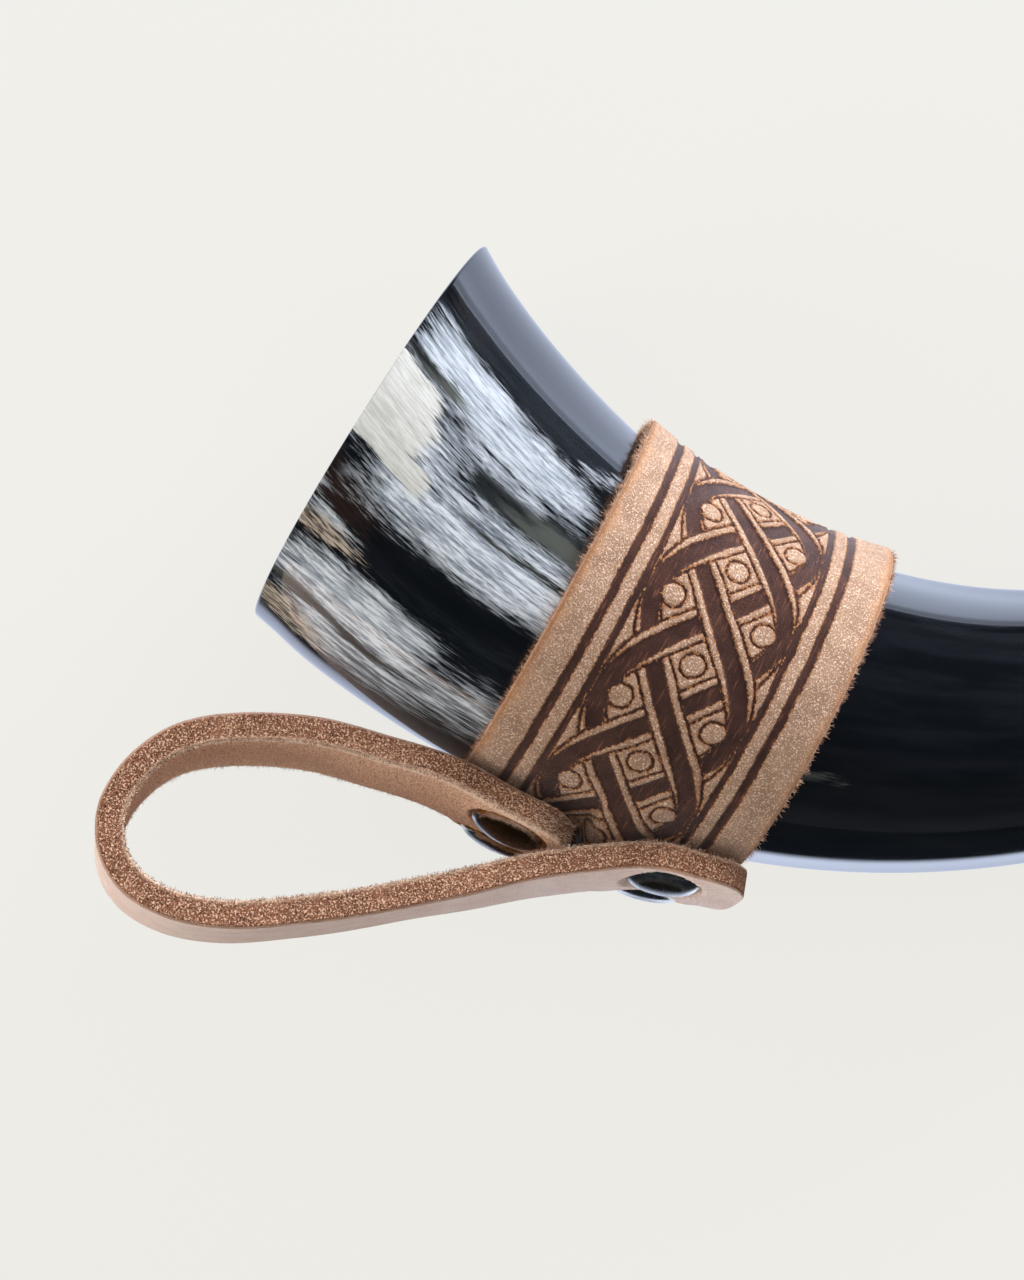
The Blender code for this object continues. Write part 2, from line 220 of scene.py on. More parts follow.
def put_in_scene(name, data):
    """A new object that holds a mesh, a lamp or a camera."""
    made = bpy.data.objects.new(name, data)
    bpy.context.scene.collection.objects.link(made)
    return made


def add_piece(name, points, faces, values, finish, body, slot, *nodes):
    """One mesh piece, laid on the table and riding on its body. values are kept at its points."""
    mesh = bpy.data.meshes.new(name)
    mesh.from_pydata(lay_down(points), [], faces)
    bm = bmesh.new()
    bm.from_mesh(mesh)
    bmesh.ops.recalc_face_normals(bm, faces=bm.faces)
    bm.to_mesh(mesh)
    bm.free()
    mesh.shade_smooth()
    for key, array in values.items():
        kind, field = ("FLOAT_VECTOR", "vector") if array.ndim == 2 else ("FLOAT", "value")
        kept = mesh.attributes.new(key, kind, "POINT")
        kept.data.foreach_set(field, array.astype(np.float32).ravel())
    mesh.materials.append(finish)
    piece = put_in_scene(name, mesh)
    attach(piece, body)
    if nodes:
        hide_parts(*nodes)


def grid_faces(grid):
    """Quads between neighbours in a grid of point numbers."""
    corners = (grid[:-1, :-1], grid[:-1, 1:], grid[1:, 1:], grid[1:, :-1])
    return np.stack(corners, -1).reshape(-1, 4).tolist()


def tube_faces(rings, columns):
    """Quads of a row of rings."""
    grid = np.arange(rings * columns).reshape(rings, columns)
    return grid_faces(np.concatenate((grid, grid[:, :1]), axis=1))


def closed_faces(rings, columns):
    """A row of rings closed at both ends by a point. The two points are numbered after the rings."""
    count = rings * columns
    faces = tube_faces(rings, columns)
    for pole, first in ((count, 0), (count + 1, count - columns)):
        faces += [(pole, first + j, first + (j + 1) % columns) for j in range(columns)]
    return faces


# Shader helpers. A tone is a six-digit colour code, a linear colour or a node's output.

def paint(code):
    """Linear colour of a six-digit colour code."""
    parts = [int(code[i : i + 2], 16) / 255 for i in (0, 2, 4)]
    linear = [c / 12.92 if c <= 0.04045 else ((c + 0.055) / 1.055) ** 2.4 for c in parts]
    return (*linear, 1.0)


def fill(tree, node, inputs):
    """Link the inputs that are another node's output, and set the others."""
    for key, value in inputs.items():
        if isinstance(value, bpy.types.NodeSocket):
            tree.links.new(value, node.inputs[key])
        else:
            node.inputs[key].default_value = value


def add_node(tree, kind, inputs=None, **settings):
    made = tree.nodes.new(kind)
    for key, value in settings.items():
        setattr(made, key, value)
    fill(tree, made, inputs or {})
    return made


def maths(tree, operation, one, two=0.0):
    return add_node(tree, "ShaderNodeMath", {0: one, 1: two}, operation=operation).outputs[0]


def scaled(tree, value, share):
    return maths(tree, "MULTIPLY", value, share)


def plus(tree, one, two, weight=1.0):
    """One value plus another times its weight."""
    levels = {0: two, 1: weight, 2: one}
    return add_node(tree, "ShaderNodeMath", levels, operation="MULTIPLY_ADD").outputs[0]


def eased(tree, value, low, high, start=0.0, end=1.0):
    levels = {"Value": value, "From Min": low, "From Max": high, "To Min": start, "To Max": end}
    return add_node(tree, "ShaderNodeMapRange", levels, interpolation_type="SMOOTHSTEP").outputs["Result"]


def mixed(tree, share, one, two):
    one, two = (paint(tone) if isinstance(tone, str) else tone for tone in (one, two))
    return add_node(tree, "ShaderNodeMix", {0: share, 6: one, 7: two}, data_type="RGBA").outputs[2]


def toned(tree, value, low, high, one, two, most=1.0):
    """Tone one where the value is low, turning to tone two, by at most this share, where it is high."""
    return mixed(tree, eased(tree, value, low, high, 0.0, most), one, two)


def noise(tree, place, scale, detail, roughness):
    levels = {"Vector": place, "Scale": scale, "Detail": detail, "Roughness": roughness}
    return add_node(tree, "ShaderNodeTexNoise", levels).outputs["Fac"]


def stretched_noise(tree, place, scales, detail, roughness):
    stretched = add_node(tree, "ShaderNodeMapping", {"Vector": place, "Scale": scales})
    return noise(tree, stretched.outputs["Vector"], 1.0, detail, roughness)


def kept_value(tree, name):
    return add_node(tree, "ShaderNodeAttribute", attribute_name=name).outputs["Fac"]


def kept_place(tree, name):
    return add_node(tree, "ShaderNodeAttribute", attribute_name=name).outputs["Vector"]


def own_place(tree):
    return add_node(tree, "ShaderNodeTexCoord").outputs["Object"]


def part_of(tree, place, axis):
    return add_node(tree, "ShaderNodeSeparateXYZ", {0: place}).outputs[axis]


def new_finish(name):
    finish = bpy.data.materials.new(name)
    finish.use_nodes = True
    return finish, finish.node_tree, finish.node_tree.nodes["Principled BSDF"]


def bump(tree, height, strength, distance):
    levels = {"Height": height, "Strength": strength, "Distance": distance}
    return add_node(tree, "ShaderNodeBump", levels).outputs["Normal"]


def new_group(name, inputs, outputs):
    """An empty shader node group with named sockets, the values that come in, and its end node."""
    group = bpy.data.node_groups.new(name, "ShaderNodeTree")
    for key, kind, value in inputs:
        socket = group.interface.new_socket(key, in_out="INPUT", socket_type=kind)
        if value is not None:
            socket.default_value = value
    for key in outputs:
        group.interface.new_socket(key, in_out="OUTPUT", socket_type="NodeSocketFloat")
    return group, group.nodes.new("NodeGroupInput").outputs, group.nodes.new("NodeGroupOutput")


def place_group(tree, group, inputs):
    return add_node(tree, "ShaderNodeGroup", inputs, node_tree=group).outputs


def make_fibre_group():
    """Leather fibre: pale flecks, dark pores and the height of the nap."""
    sockets = (
        ("Place", "NodeSocketVector", None),
        ("Fleck Scale", "NodeSocketFloat", 1600.0),
        ("Pore Scale", "NodeSocketFloat", 2400.0),
    )
    group, start, end = new_group("leather_fibre", sockets, ("Fleck", "Pore", "Nap"))
    fleck = noise(group, start["Place"], start["Fleck Scale"], 3.0, 0.6)
    pore = noise(group, start["Place"], start["Pore Scale"], 2.0, 0.6)
    results = {
        "Fleck": eased(group, fleck, 0.51, 0.63),
        "Pore": eased(group, pore, 0.52, 0.64),
        "Nap": maths(group, "SUBTRACT", fleck, pore),
    }
    fill(group, end, results)
    return group


def make_scratch_group():
    """Fine scratches that run mostly one way, as a mask."""
    sockets = (
        ("Place", "NodeSocketVector", None),
        ("Length", "NodeSocketVector", (60.0, 2600.0, 2600.0)),
        ("Amount", "NodeSocketFloat", 0.5),
    )
    group, start, end = new_group("fine_scratches", sockets, ("Scratch",))
    sides = {0: start["Place"], 1: start["Length"]}
    place = add_node(group, "ShaderNodeVectorMath", sides, operation="MULTIPLY").outputs[0]
    mask = eased(group, noise(group, place, 1.0, 2.0, 0.6), 0.56, 0.72)
    fill(group, end, {"Scratch": scaled(group, mask, start["Amount"])})
    return group


fibre_group = make_fibre_group()
scratch_group = make_scratch_group()


# Horn

# Rings of points, closest together from the mouth to the end of the mouth zone, where the patches are
HORN_SEGMENTS = 256
TIP_ROWS = 20
FAR_ROWS = 170
MOUTH_ROWS = 90
CUP_ROWS = 90
CORNER_ROWS = 6
MOUTH_ZONE = 0.045

# The skin's waves are sunk by their top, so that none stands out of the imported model
HORN_UNEVEN = 0.00011
HORN_WAVES = ((1.0, (0.032, 0.016, 0.016), 1), (0.5, (0.024, 0.006, 0.006), 2))
HORN_WAVES_TOP = 1.4
EVEN_RIM = 0.006

# The rim is drawn in on the outer side of the bend, fading out over these turns, in radians,
# and over this length
RIM_TUCK = 0.0014
TUCK_TURNS = (0.1, 0.9)
TUCK_LENGTH = 0.022

# How the outlines of the patches stray along the horn, in metres, and round it, in radians
PATCH_WANDER = ((0.0011, 0.004, 14),)
PATCH_VEER = ((0.035, (0.020, 0.006, 0.006), 12), (0.010, (0.0055, 0.0022, 0.0022), 13))

# Patches of each tone: the mm over which their ends fade, the soft share of their half-width,
# and for each patch from and to along the horn in mm, middle turn and half-width in degrees,
# drift in degrees per mm, strength
HORN_PATCHES = {
    "white": (8.0, 0.7, (
        (-8, 20, 113, 9.5, -0.05, 1.00),
        (10, 38, 111, 8.0, -0.05, 1.00),
        (4, 46, 78, 10, 0.14, 1.00),
        (-4, 46, 92, 16, 0.00, 0.60),
        (8, 44, 102.5, 2.6, 0.00, 0.85),
        (29, 42, 117, 5, 1.00, 0.56),
        (5, 33, 44, 10, 0.00, 0.98),
        (10, 37, 28, 10, 0.00, 0.74),
        (24, 46, 35, 15, 0.00, 0.60),
        (-8, 12, 38, 12, 0.00, 0.45),
        (1, 14, 60, 3.4, 0.00, 0.88),
        (-3, 7, 66, 4, 0.00, 0.58),
        (-8, 30, 300, 16, 0.10, 0.85),
        (4, 40, 252, 12, -0.15, 0.90),
        (-8, 22, 205, 9, 0.05, 0.70),
    )),
    # Painted shade: this tone darkens the white on the upper band, where the window lamp lights it most.
    "painted_shade": (8.0, 0.5, (
        (-8, 50, 114, 19, 0.00, 1.00),
    )),
    "cream": (4.0, 0.5, (
        (-8, 8, 95, 12, 0.00, 1.00),
        (-8, 16, 84, 4.6, 0.00, 1.00),
        (-8, 11, 92, 5.5, 0.00, 1.00),
        (-8, 11, 19, 8, 0.00, 0.90),
        (-8, 14, 306, 8, 0.00, 0.95),
    )),
    "tan": (8.0, 0.9, (
        (-8, 16, 54, 4.4, 0.12, 1.00),
        (-8, 20, 29, 6.0, -0.25, 1.00),
        (-8, 26, 276, 7.0, 0.10, 0.85),
    )),
    "brown": (8.0, 0.8, (
        (-6, 16, 66, 7.0, 0.10, 0.95),
        (-8, 10, 127, 3.0, 0.00, 1.00),
        (8, 46, 13, 9.0, -0.10, 1.00),
        (0, 50, 228, 14.0, 0.00, 0.90),
    )),
    "slate": (8.0, 0.7, (
        (14, 46, 55, 9.0, 0.05, 0.35),
        (-8, 42, 127, 9.0, 0.05, 0.85),
    )),
    "dark": (5.0, 0.6, (
        (-8, 11, 108.4, 2.2, 0.00, 1.00),
        (15, 48, 96.5, 3.6, 0.05, 0.95),
        (27, 50, 99, 6.5, 0.00, 0.90),
        (2, 28, 35, 1.8, 0.00, 0.95),
        (18, 42, 87, 1.4, 0.00, 0.80),
        (78, 90, 63, 2.6, 0.00, 0.90),
    )),
}


def patch_strength(fade, soft, patches, s, turn):
    """How far inside the patches a point lies, from 0 outside to a patch's strength."""
    strength = np.zeros(s.shape)
    for first, last, middle, half, drift, most in patches:
        run = np.minimum(s / MM - first, last - s / MM)
        across = np.degrees(turn) - middle - drift * (s / MM - first)
        across = np.abs((across + 180) % 360 - 180) / half
        inside = ramp(run, -0.4 * fade, fade) * (1 - ramp(across, 1 - soft, 1 + 0.5 * soft))
        strength = np.maximum(strength, most * inside)
    return strength


def make_horn_finish():
    """Near-black horn with streaky patches, one tone over the other. Weak patches are the most streaky."""
    finish, tree, shader = new_finish("polished_horn")
    unbent = kept_place(tree, "unbent")
    streaks = stretched_noise(tree, unbent, (65.0, 1450.0, 1450.0), 3.0, 0.6)
    hairs = stretched_noise(tree, unbent, (180.0, 3500.0, 3500.0), 2.0, 0.6)
    wisps = stretched_noise(tree, unbent, (45.0, 330.0, 330.0), 3.0, 0.55)
    grain = plus(tree, scaled(tree, streaks, 0.5), hairs, 0.5)
    fine = plus(tree, scaled(tree, streaks, 0.9), hairs, 1.3)
    ragged = plus(tree, fine, wisps, 0.6)
    white = toned(tree, streaks, 0.38, 0.62, "8f98a3", "ced5dd")
    # Painted shade: the white is toned down on the upper band, which the window lamp lights most.
    white = mixed(tree, scaled(tree, kept_value(tree, "painted_shade"), 0.50), white, "888b90")
    white = toned(tree, hairs, 0.52, 0.66, white, "5b6470", 0.7)
    layers = (
        ("brown", 0.8, 1.50, 2.20, "261b16"),
        ("slate", 0.9, 1.50, 2.30, "1b1f23"),
        ("white", 0.72, 1.46, 2.14, white),
        ("tan", 0.8, 1.55, 2.10, toned(tree, fine, 0.95, 1.25, "5f554d", "aa9f91")),
        ("cream", 1.2, 1.75, 2.35, toned(tree, grain, 0.40, 0.62, "b0afa9", "c7c7c4")),
        ("dark", 0.8, 1.60, 2.05, toned(tree, wisps, 0.38, 0.62, "1c1e1f", "494c48")),
    )
    skin = toned(tree, wisps, 0.35, 0.7, "07090c", "101216")
    for name, weight, low, high, tone in layers:
        level = kept_value(tree, name)
        covered = eased(tree, plus(tree, ragged, level, weight), low, high)
        skin = mixed(tree, scaled(tree, covered, eased(tree, level, 0.02, 0.2)), skin, tone)
    inside = kept_value(tree, "inside")
    cup = toned(tree, grain, 0.40, 0.62, "2e241d", "5b4a3b")
    lines = {"Place": unbent, "Length": (110.0, 3600.0, 3600.0), "Amount": 0.12}
    scratch = place_group(tree, scratch_group, lines)["Scratch"]
    polish = plus(tree, eased(tree, wisps, 0.3, 0.7, 0.08, 0.15), scratch)
    levels = {
        "Base Color": mixed(tree, inside, skin, cup),
        "Roughness": plus(tree, polish, inside, 0.25),
        "IOR": 1.55,
        "Coat Weight": 1.0,
        "Coat IOR": 1.8,
        "Coat Roughness": 0.05,
        "Normal": bump(tree, grain, 0.04, 0.0002),
    }
    fill(tree, shader, levels)
    return finish


def horn_rows():
    """(distance along the horn, radius, inside) of each ring.

    They run from the tip along the skin, over the rim and into the cup.
    """
    shoulder = HORN_LENGTH - TIP_RADIUS
    rows = []
    for rise in np.sin(quarter(TIP_ROWS)[-2::-1]):
        s = shoulder + TIP_RADIUS * rise
        rows.append((s, horn_radius(s) * math.sqrt(1 - rise * rise), 0))
    far = np.linspace(shoulder, MOUTH_ZONE, FAR_ROWS)[1:]
    near = np.linspace(MOUTH_ZONE, RIM_ROUND, MOUTH_ROWS)[1:]
    rows += [(s, horn_radius(s), 0) for s in np.concatenate((far, near))]
    corner = quarter(CORNER_ROWS)
    for angle in corner[1:]:
        rows.append((RIM_ROUND * (1 - math.sin(angle)), MOUTH_RADIUS - RIM_ROUND * (1 - math.cos(angle)), 0))
    for share in (0.33, 0.67):
        rows.append((0.0, MOUTH_RADIUS - RIM_ROUND - share * (RIM_WALL - 2 * RIM_ROUND), 0))
    for angle in corner:
        radius = MOUTH_RADIUS - RIM_WALL + RIM_ROUND * (1 - math.sin(angle))
        rows.append((RIM_ROUND * (1 - math.cos(angle)), radius, angle / corner[-1]))
    for share in np.sin(quarter(CUP_ROWS)[1:-1]):
        s = RIM_ROUND + (CUP_DEPTH - RIM_ROUND) * share
        hollow = math.sqrt(max(0.0, 1 - (s / CUP_DEPTH) ** CUP_ROUNDNESS))
        rows.append((s, (horn_radius(s) - RIM_WALL) * hollow, 1))
    return np.array(rows)


def make_horn(finish):
    rows = horn_rows()
    turns = np.linspace(0, math.tau, HORN_SEGMENTS, endpoint=False)
    turn, s, radius, inside = np.broadcast_arrays(turns, *rows.T[..., None])
    along = tangent(s)
    out = spoke(s, turn)
    rim_axis = LYING.T @ np.array((1.0, 0.0, 0.0))
    bent = smooth_step(s / SLANT_END)[..., None]
    across = rim_axis * (1 - bent) + along * bent
    shear = (out * across).sum(-1) / (along * across).sum(-1)
    unbent = np.stack((s, horn_radius(s) * np.cos(turn), horn_radius(s) * np.sin(turn)), -1)
    uneven = np.where(inside > 0, 0.0, HORN_UNEVEN * (waves(unbent, HORN_WAVES) - HORN_WAVES_TOP))
    in_wall = np.clip((radius - MOUTH_RADIUS + RIM_WALL) / RIM_WALL, 0.0, 1.0)
    at_rim = (1 - ramp(angle_off_zero(turn), *TUCK_TURNS)) * (1 - ramp(s, 0.0, TUCK_LENGTH))
    reach = radius + uneven * ramp(s, 0.0, EVEN_RIM) - RIM_TUCK * at_rim * in_wall
    points = BEND_RADIUS * outward(s) + reach[..., None] * (out - shear[..., None] * along)
    ends = BEND_RADIUS * outward((HORN_LENGTH, CUP_DEPTH))
    strayed_s = s - shear * radius + waves(unbent, PATCH_WANDER)
    strayed_turn = turn + waves(unbent, PATCH_VEER)
    values = {
        "unbent": np.concatenate((unbent.reshape(-1, 3), [[HORN_LENGTH, 0, 0], [CUP_DEPTH, 0, 0]])),
        "inside": np.append(inside, (0, 1)),
    }
    for tone, patches in HORN_PATCHES.items():
        values[tone] = np.append(patch_strength(*patches, strayed_s, strayed_turn), (0, 0))
    every = np.concatenate((points.reshape(-1, 3), ends))
    faces = closed_faces(len(rows), HORN_SEGMENTS)
    add_piece("polished_horn", every, faces, values, finish, "drinking_horn", "polished_horn", "horn")


# Strap line and rivets, which the cuff's leather gives way to

LINE_STEPS = 40
LEAST_CURVE = 1e-3
GRIP_STEPS = 8


def band_axis():
    """Axis that both edges of the cuff are cut square to."""
    lean = math.radians(CUFF_LEAN)
    nod = math.radians(CUFF_NOD)
    level = math.cos(lean) * tangent(CUFF_MIDDLE) - math.sin(lean) * outward(CUFF_MIDDLE)
    return math.cos(nod) * level - math.sin(nod) * UP


BAND_AXIS = band_axis()


def band_edge(s, turn):
    """Where the cuff's straight-cut edge that crosses the centreline at s lies at this turn."""
    radius = horn_radius(s)
    run = -radius * (spoke(s, turn) @ BAND_AXIS) / (tangent(s) @ BAND_AXIS)
    return s + run * BEND_RADIUS / (BEND_RADIUS + radius * np.cos(turn))


CLOCK = math.radians(STRAP_CLOCK)
STRAP_ORIGIN = BEND_RADIUS * outward(CUFF_MIDDLE)
TOWARDS_MOUTH = -BAND_AXIS
out_of_cuff = spoke(CUFF_MIDDLE, CLOCK)
AWAY = aimed(out_of_cuff - (out_of_cuff @ TOWARDS_MOUTH) * TOWARDS_MOUTH)
ACROSS = np.cross(TOWARDS_MOUTH, AWAY)


def seat_point(edge, run, lift):
    """A point of the strap's mid-line on the cuff, run along its outside from an edge."""
    offset = FIT_GAP + CUFF_THICKNESS + FIT_GAP + STRAP_THICKNESS / 2
    start = band_edge(edge, CLOCK)
    s = start + run * BEND_RADIUS / (BEND_RADIUS + horn_radius(start) + offset)
    point = skin_point(s, CLOCK, offset + lift) - STRAP_ORIGIN
    return np.array((point @ TOWARDS_MOUTH, point @ AWAY))


def strap_route():
    """Points of the mid-line: the far seat, over the near seat's end, round the loop, the near seat."""
    shares = (0.0, 0.5, 1.0)
    far_seat = [seat_point(CUFF_END, FAR_END_OVERHANG - FAR_SEAT_LENGTH * share, 0.0) for share in shares]
    near_seat = [seat_point(CUFF_START, NEAR_SEAT_LENGTH * share, NEAR_SEAT_LIFT * share) for share in shares]
    over = near_seat[2] + (0.0, STRAP_THICKNESS + STRAP_CROSSING_GAP)
    loop = [near_seat[0] + point for point in LOOP_POINTS]
    return far_seat + [over] + loop + near_seat


def smooth_line(points):
    """Fine points of a centripetal Catmull-Rom curve through the points, and the length up to each."""
    padded = [2 * points[0] - points[1], *points, 2 * points[-1] - points[-2]]
    fine = []
    for p0, p1, p2, p3 in zip(padded, padded[1:], padded[2:], padded[3:]):
        t1 = math.sqrt(np.linalg.norm(p1 - p0))
        t2 = t1 + math.sqrt(np.linalg.norm(p2 - p1))
        t3 = t2 + math.sqrt(np.linalg.norm(p3 - p2))
        for t in np.linspace(t1, t2, LINE_STEPS, endpoint=False):
            a1 = p0 + (p1 - p0) * t / t1
            a2 = p1 + (p2 - p1) * (t - t1) / (t2 - t1)
            a3 = p2 + (p3 - p2) * (t - t2) / (t3 - t2)
            b1 = a1 + (a2 - a1) * t / t2
            b2 = a2 + (a3 - a2) * (t - t1) / (t3 - t1)
            fine.append(b1 + (b2 - b1) * (t - t1) / (t2 - t1))
    fine = np.array(fine + [points[-1]])
    step_lengths = np.linalg.norm(np.diff(fine, axis=0), axis=1)
    return fine, np.concatenate(([0.0], np.cumsum(step_lengths)))


STRAP_LINE, STRAP_RUN = smooth_line(strap_route())
STRAP_HEADINGS = np.gradient(STRAP_LINE, STRAP_RUN, axis=0)
STRAP_LENGTH = STRAP_RUN[-1]


def strap_frame(distance):
    """Mid-line point of the strap and its grain-side direction, at a distance along it."""
    x, y = (np.interp(distance, STRAP_RUN, STRAP_LINE[:, axis]) for axis in (0, 1))
    dx, dy = (np.interp(distance, STRAP_RUN, STRAP_HEADINGS[:, axis]) for axis in (0, 1))
    length = np.hypot(dx, dy)
    middle = STRAP_ORIGIN + x[..., None] * TOWARDS_MOUTH + y[..., None] * AWAY
    grain = (-dy / length)[..., None] * TOWARDS_MOUTH + (dx / length)[..., None] * AWAY
    return middle, grain


def strap_point(distance, w, h):
    """Point of the strap: w across from its mid-line, h from its middle towards the grain side."""
    distance = np.asarray(distance, float)
    middle, grain = strap_frame(distance)
    far = 1 - smooth_step((distance - FAR_CUP_LENGTH) / CUP_FADE)
    near = 1 - smooth_step((STRAP_LENGTH - distance - NEAR_SEAT_LENGTH) / CUP_FADE)
    curve = (far - near) / STRAP_CUP_RADIUS
    curve = np.where(np.abs(curve) < LEAST_CURVE, LEAST_CURVE, curve)
    reach = 1 / curve + h
    sideways = (reach * np.sin(w * curve))[..., None] * ACROSS
    return middle + sideways + (reach * np.cos(w * curve) - 1 / curve)[..., None] * grain


def height_over_cuff_inside(point):
    s = (math.atan2(point[0], -point[1]) - math.radians(MOUTH_HEADING)) * BEND_RADIUS
    reach = math.hypot(math.hypot(point[0], point[1]) - BEND_RADIUS, point[2])
    return reach - float(horn_radius(s)) - FIT_GAP


def rivet_places():
    """(name, foot, axis, grip, outer side) of each rivet.

    The foot lies on the cuff's inside, and grip is the height of the strap's outer face over it.
    The outer side is 1 where the strap's grain side faces out, and -1 where its flesh side does.
    """
    splay = math.radians(RIVET_SPLAY)
    near_inset = STRAP_LENGTH - NEAR_SEAT_LENGTH + NEAR_RIVET_INSET
    places = []
    for end, distance, outer_side in (("tip", FAR_RIVET_INSET, 1), ("mouth", near_inset, -1)):
        _, grain = strap_frame(np.asarray(distance))
        for side, sign in (("upper", 1), ("lower", -1)):
            axis = math.cos(splay) * outer_side * grain + sign * math.sin(splay) * ACROSS
            top = strap_point(distance, sign * RIVET_SPREAD / 2, outer_side * STRAP_THICKNESS / 2)
            grip = 0.0
            for _ in range(GRIP_STEPS):
                grip += height_over_cuff_inside(top - grip * axis)
            places.append((f"{end}_{side}", top - grip * axis, axis, grip, outer_side))
    return places


RIVETS = rivet_places()


def from_axis(points, foot, axis):
    """Distance of points from a rivet's axis, and their height along it."""
    arm = points - foot
    height = arm @ axis
    return np.linalg.norm(arm - height[..., None] * axis, axis=-1), height


# The plait tooled into the cuff: four strands, three columns of beads and a border line on
# each side. Sizes in mm, measured across the cuff from its mouth edge and round its outside.

CUFF_ROUND = 31.6
PLAIT_MIDDLE = 22.6
PLAIT_PERIOD = 17.35
FIRST_BEAD = math.radians(70.0) * CUFF_ROUND
STRANDS = 4
SWING = 10.7
SWING_ROUND = 0.7
STRIPE = 1.42
LIGHT_LINE = 1.08
OUTLINE = 0.42
BEAD = 1.75
BEAD_RING = 0.42
BEAD_COLUMN = 7.75
TURN_STARTS = 6.0
TURN_ENDS = 10.35
TAPER = 0.7
OPEN_GROUND = 2.0
OVER_CHANGES = -0.47 * BEAD_COLUMN
FIELD_OVERLAP = 0.3
BORDER_EDGES = (12.4, 13.45, 15.65, 17.05)


def strand_place(u, x, number):
    """Distance from a strand's mid-line, whether it runs towards the tip, how far it is into its turn."""
    repeat = STRANDS * PLAIT_PERIOD
    phase = math.tau * (u - FIRST_BEAD - number * PLAIT_PERIOD) / repeat
    wave = SWING_ROUND * np.cos(phase)
    line = -SWING * np.arcsin(wave) / math.asin(SWING_ROUND)
    pitch = SWING / math.asin(SWING_ROUND) * SWING_ROUND * math.tau / repeat
    slope = pitch * np.sin(phase) / np.sqrt(1 - wave**2)
    turning = np.clip((np.abs(line) - TURN_STARTS) / (TURN_ENDS - TURN_STARTS), 0.0, 1.0)
    return np.abs(x - line) / np.sqrt(1 + slope**2), slope > 0, turning


def between(value, low, high):
    """Distance to the nearer of two edges."""
    return np.minimum(value - low, high - value)


def lay_strand(tooling, distance, turning):
    """The strand over what lies below it: dark stripe, light line that tapers at a turn, dark outline."""
    light = STRIPE + LIGHT_LINE * (1 - turning) ** TAPER
    reach = light + OUTLINE
    outer = np.where(distance < light, between(distance, STRIPE, light), -between(distance, light, reach))
    strand = np.where(distance < STRIPE, distance - STRIPE, outer)
    return np.where(distance < reach, strand, np.minimum(tooling, distance - reach))


def plait(u, v):
    """Tooling at a place of the cuff: above 0 the leather stands light, below 0 it is pressed and dark."""
    x = v - PLAIT_MIDDLE
    tooling = np.full(x.shape, OPEN_GROUND)
    strands = [strand_place(u, x, number) for number in range(STRANDS)]
    for layer in (False, True):
        for distance, to_tip, turning in strands:
            over = np.where(x < OVER_CHANGES, to_tip, ~to_tip)
            tooling = np.where(over == layer, lay_strand(tooling, distance, turning), tooling)
    ring = BEAD + BEAD_RING
    for column, shift in ((-BEAD_COLUMN, 0.0), (0.0, 0.5), (BEAD_COLUMN, 0.0)):
        along = (u - FIRST_BEAD) / PLAIT_PERIOD - shift
        along = (along - np.round(along)) * PLAIT_PERIOD
        away = np.hypot(along, x - column)
        bead = np.where(away < BEAD, BEAD - away, -between(away, BEAD, ring))
        tooling = np.where(away < ring, bead, np.minimum(tooling, away - ring))
    side = np.abs(x)
    field, inner, light, outer = BORDER_EDGES
    margin = np.where(side < outer, -between(side, light, outer), side - outer)
    line = np.where(side < light, between(side, inner, light), margin)
    border = np.where(side < inner, -between(side, field - FIELD_OVERLAP, inner), line)
    return np.where(side < field, np.minimum(tooling, field - side), border)


# Cuff

CUFF_SECTIONS = 680
OUTSIDE_COLUMNS = 158
INSIDE_COLUMNS = 90
INSIDE_INSET = 0.25
CUT_FOOT = 0.12
CUT_ROWS = 9

# Depths and heights in mm, and the tooling levels or heights over the inside where they set in
PRESSED_DEPTH = 0.36
PRESSED_LEVELS = (-0.22, 0.14)
GRAIN_HEIGHT = 0.05
GRAIN_LEVELS = (-0.1, 0.3)
FACE_HEIGHTS = (2.4, 3.1)
FRAY = 0.11
FRAY_HEIGHTS = (1.5, 2.6)
FRAY_REACH = (0.05, 0.6)
CUT_TOP = 2.2
INSIDE_TOP = 0.05
POCKET_REACH = 0.002

# How the tooling strays from the plait, in mm, and the waves of the nap and of the torn edges
STRAY_ROUND = ((0.12, 0.0034, 3), (0.05, 0.0008, 4))
STRAY_ACROSS = ((0.12, 0.0038, 5), (0.05, 0.0008, 6))
CUFF_NAP = ((1.0, 0.0007, 7), (0.6, 0.0004, 8))
CUFF_TORN = ((1.0, 0.0006, 9), (0.5, 0.0003, 10))

# The cuff's outside swells towards the strap between the two seats: height in metres, middle
# across the cuff in mm, from and to where it falls off to each side in mm, and round in radians
BULGE = 0.0027
BULGE_MIDDLE = 25.5
BULGE_MOUTH_SIDE = (3.0, 5.2)
BULGE_TIP_SIDE = (1.5, 6.5)
BULGE_TURNS = (0.12, 0.75)


def cuff_profile():
    """(distance across the cuff, height over its inside, cut) round one section, in mm."""
    width = CUFF_WIDTH / MM
    thick = CUFF_THICKNESS / MM
    round_off = CUFF_EDGE_ROUND / MM
    inside = [(v, 0.0, 1.0) for v in np.linspace(INSIDE_INSET, width - INSIDE_INSET, INSIDE_COLUMNS)]
    tip_side = [(width, height, 1.0) for height in np.linspace(CUT_FOOT, thick - round_off, CUT_ROWS)]
    corner = quarter(CORNER_ROWS)
    for angle in corner[1:]:
        height = thick - round_off * (1 - math.sin(angle))
        tip_side.append((width - round_off * (1 - math.cos(angle)), height, 1 - angle / corner[-1]))
    outside = [(v, thick, 0.0) for v in np.linspace(width - round_off, round_off, OUTSIDE_COLUMNS)[1:-1]]
    mouth_side = [(width - v, height, cut) for v, height, cut in reversed(tip_side)]
    return np.array(inside + tip_side + outside + mouth_side)


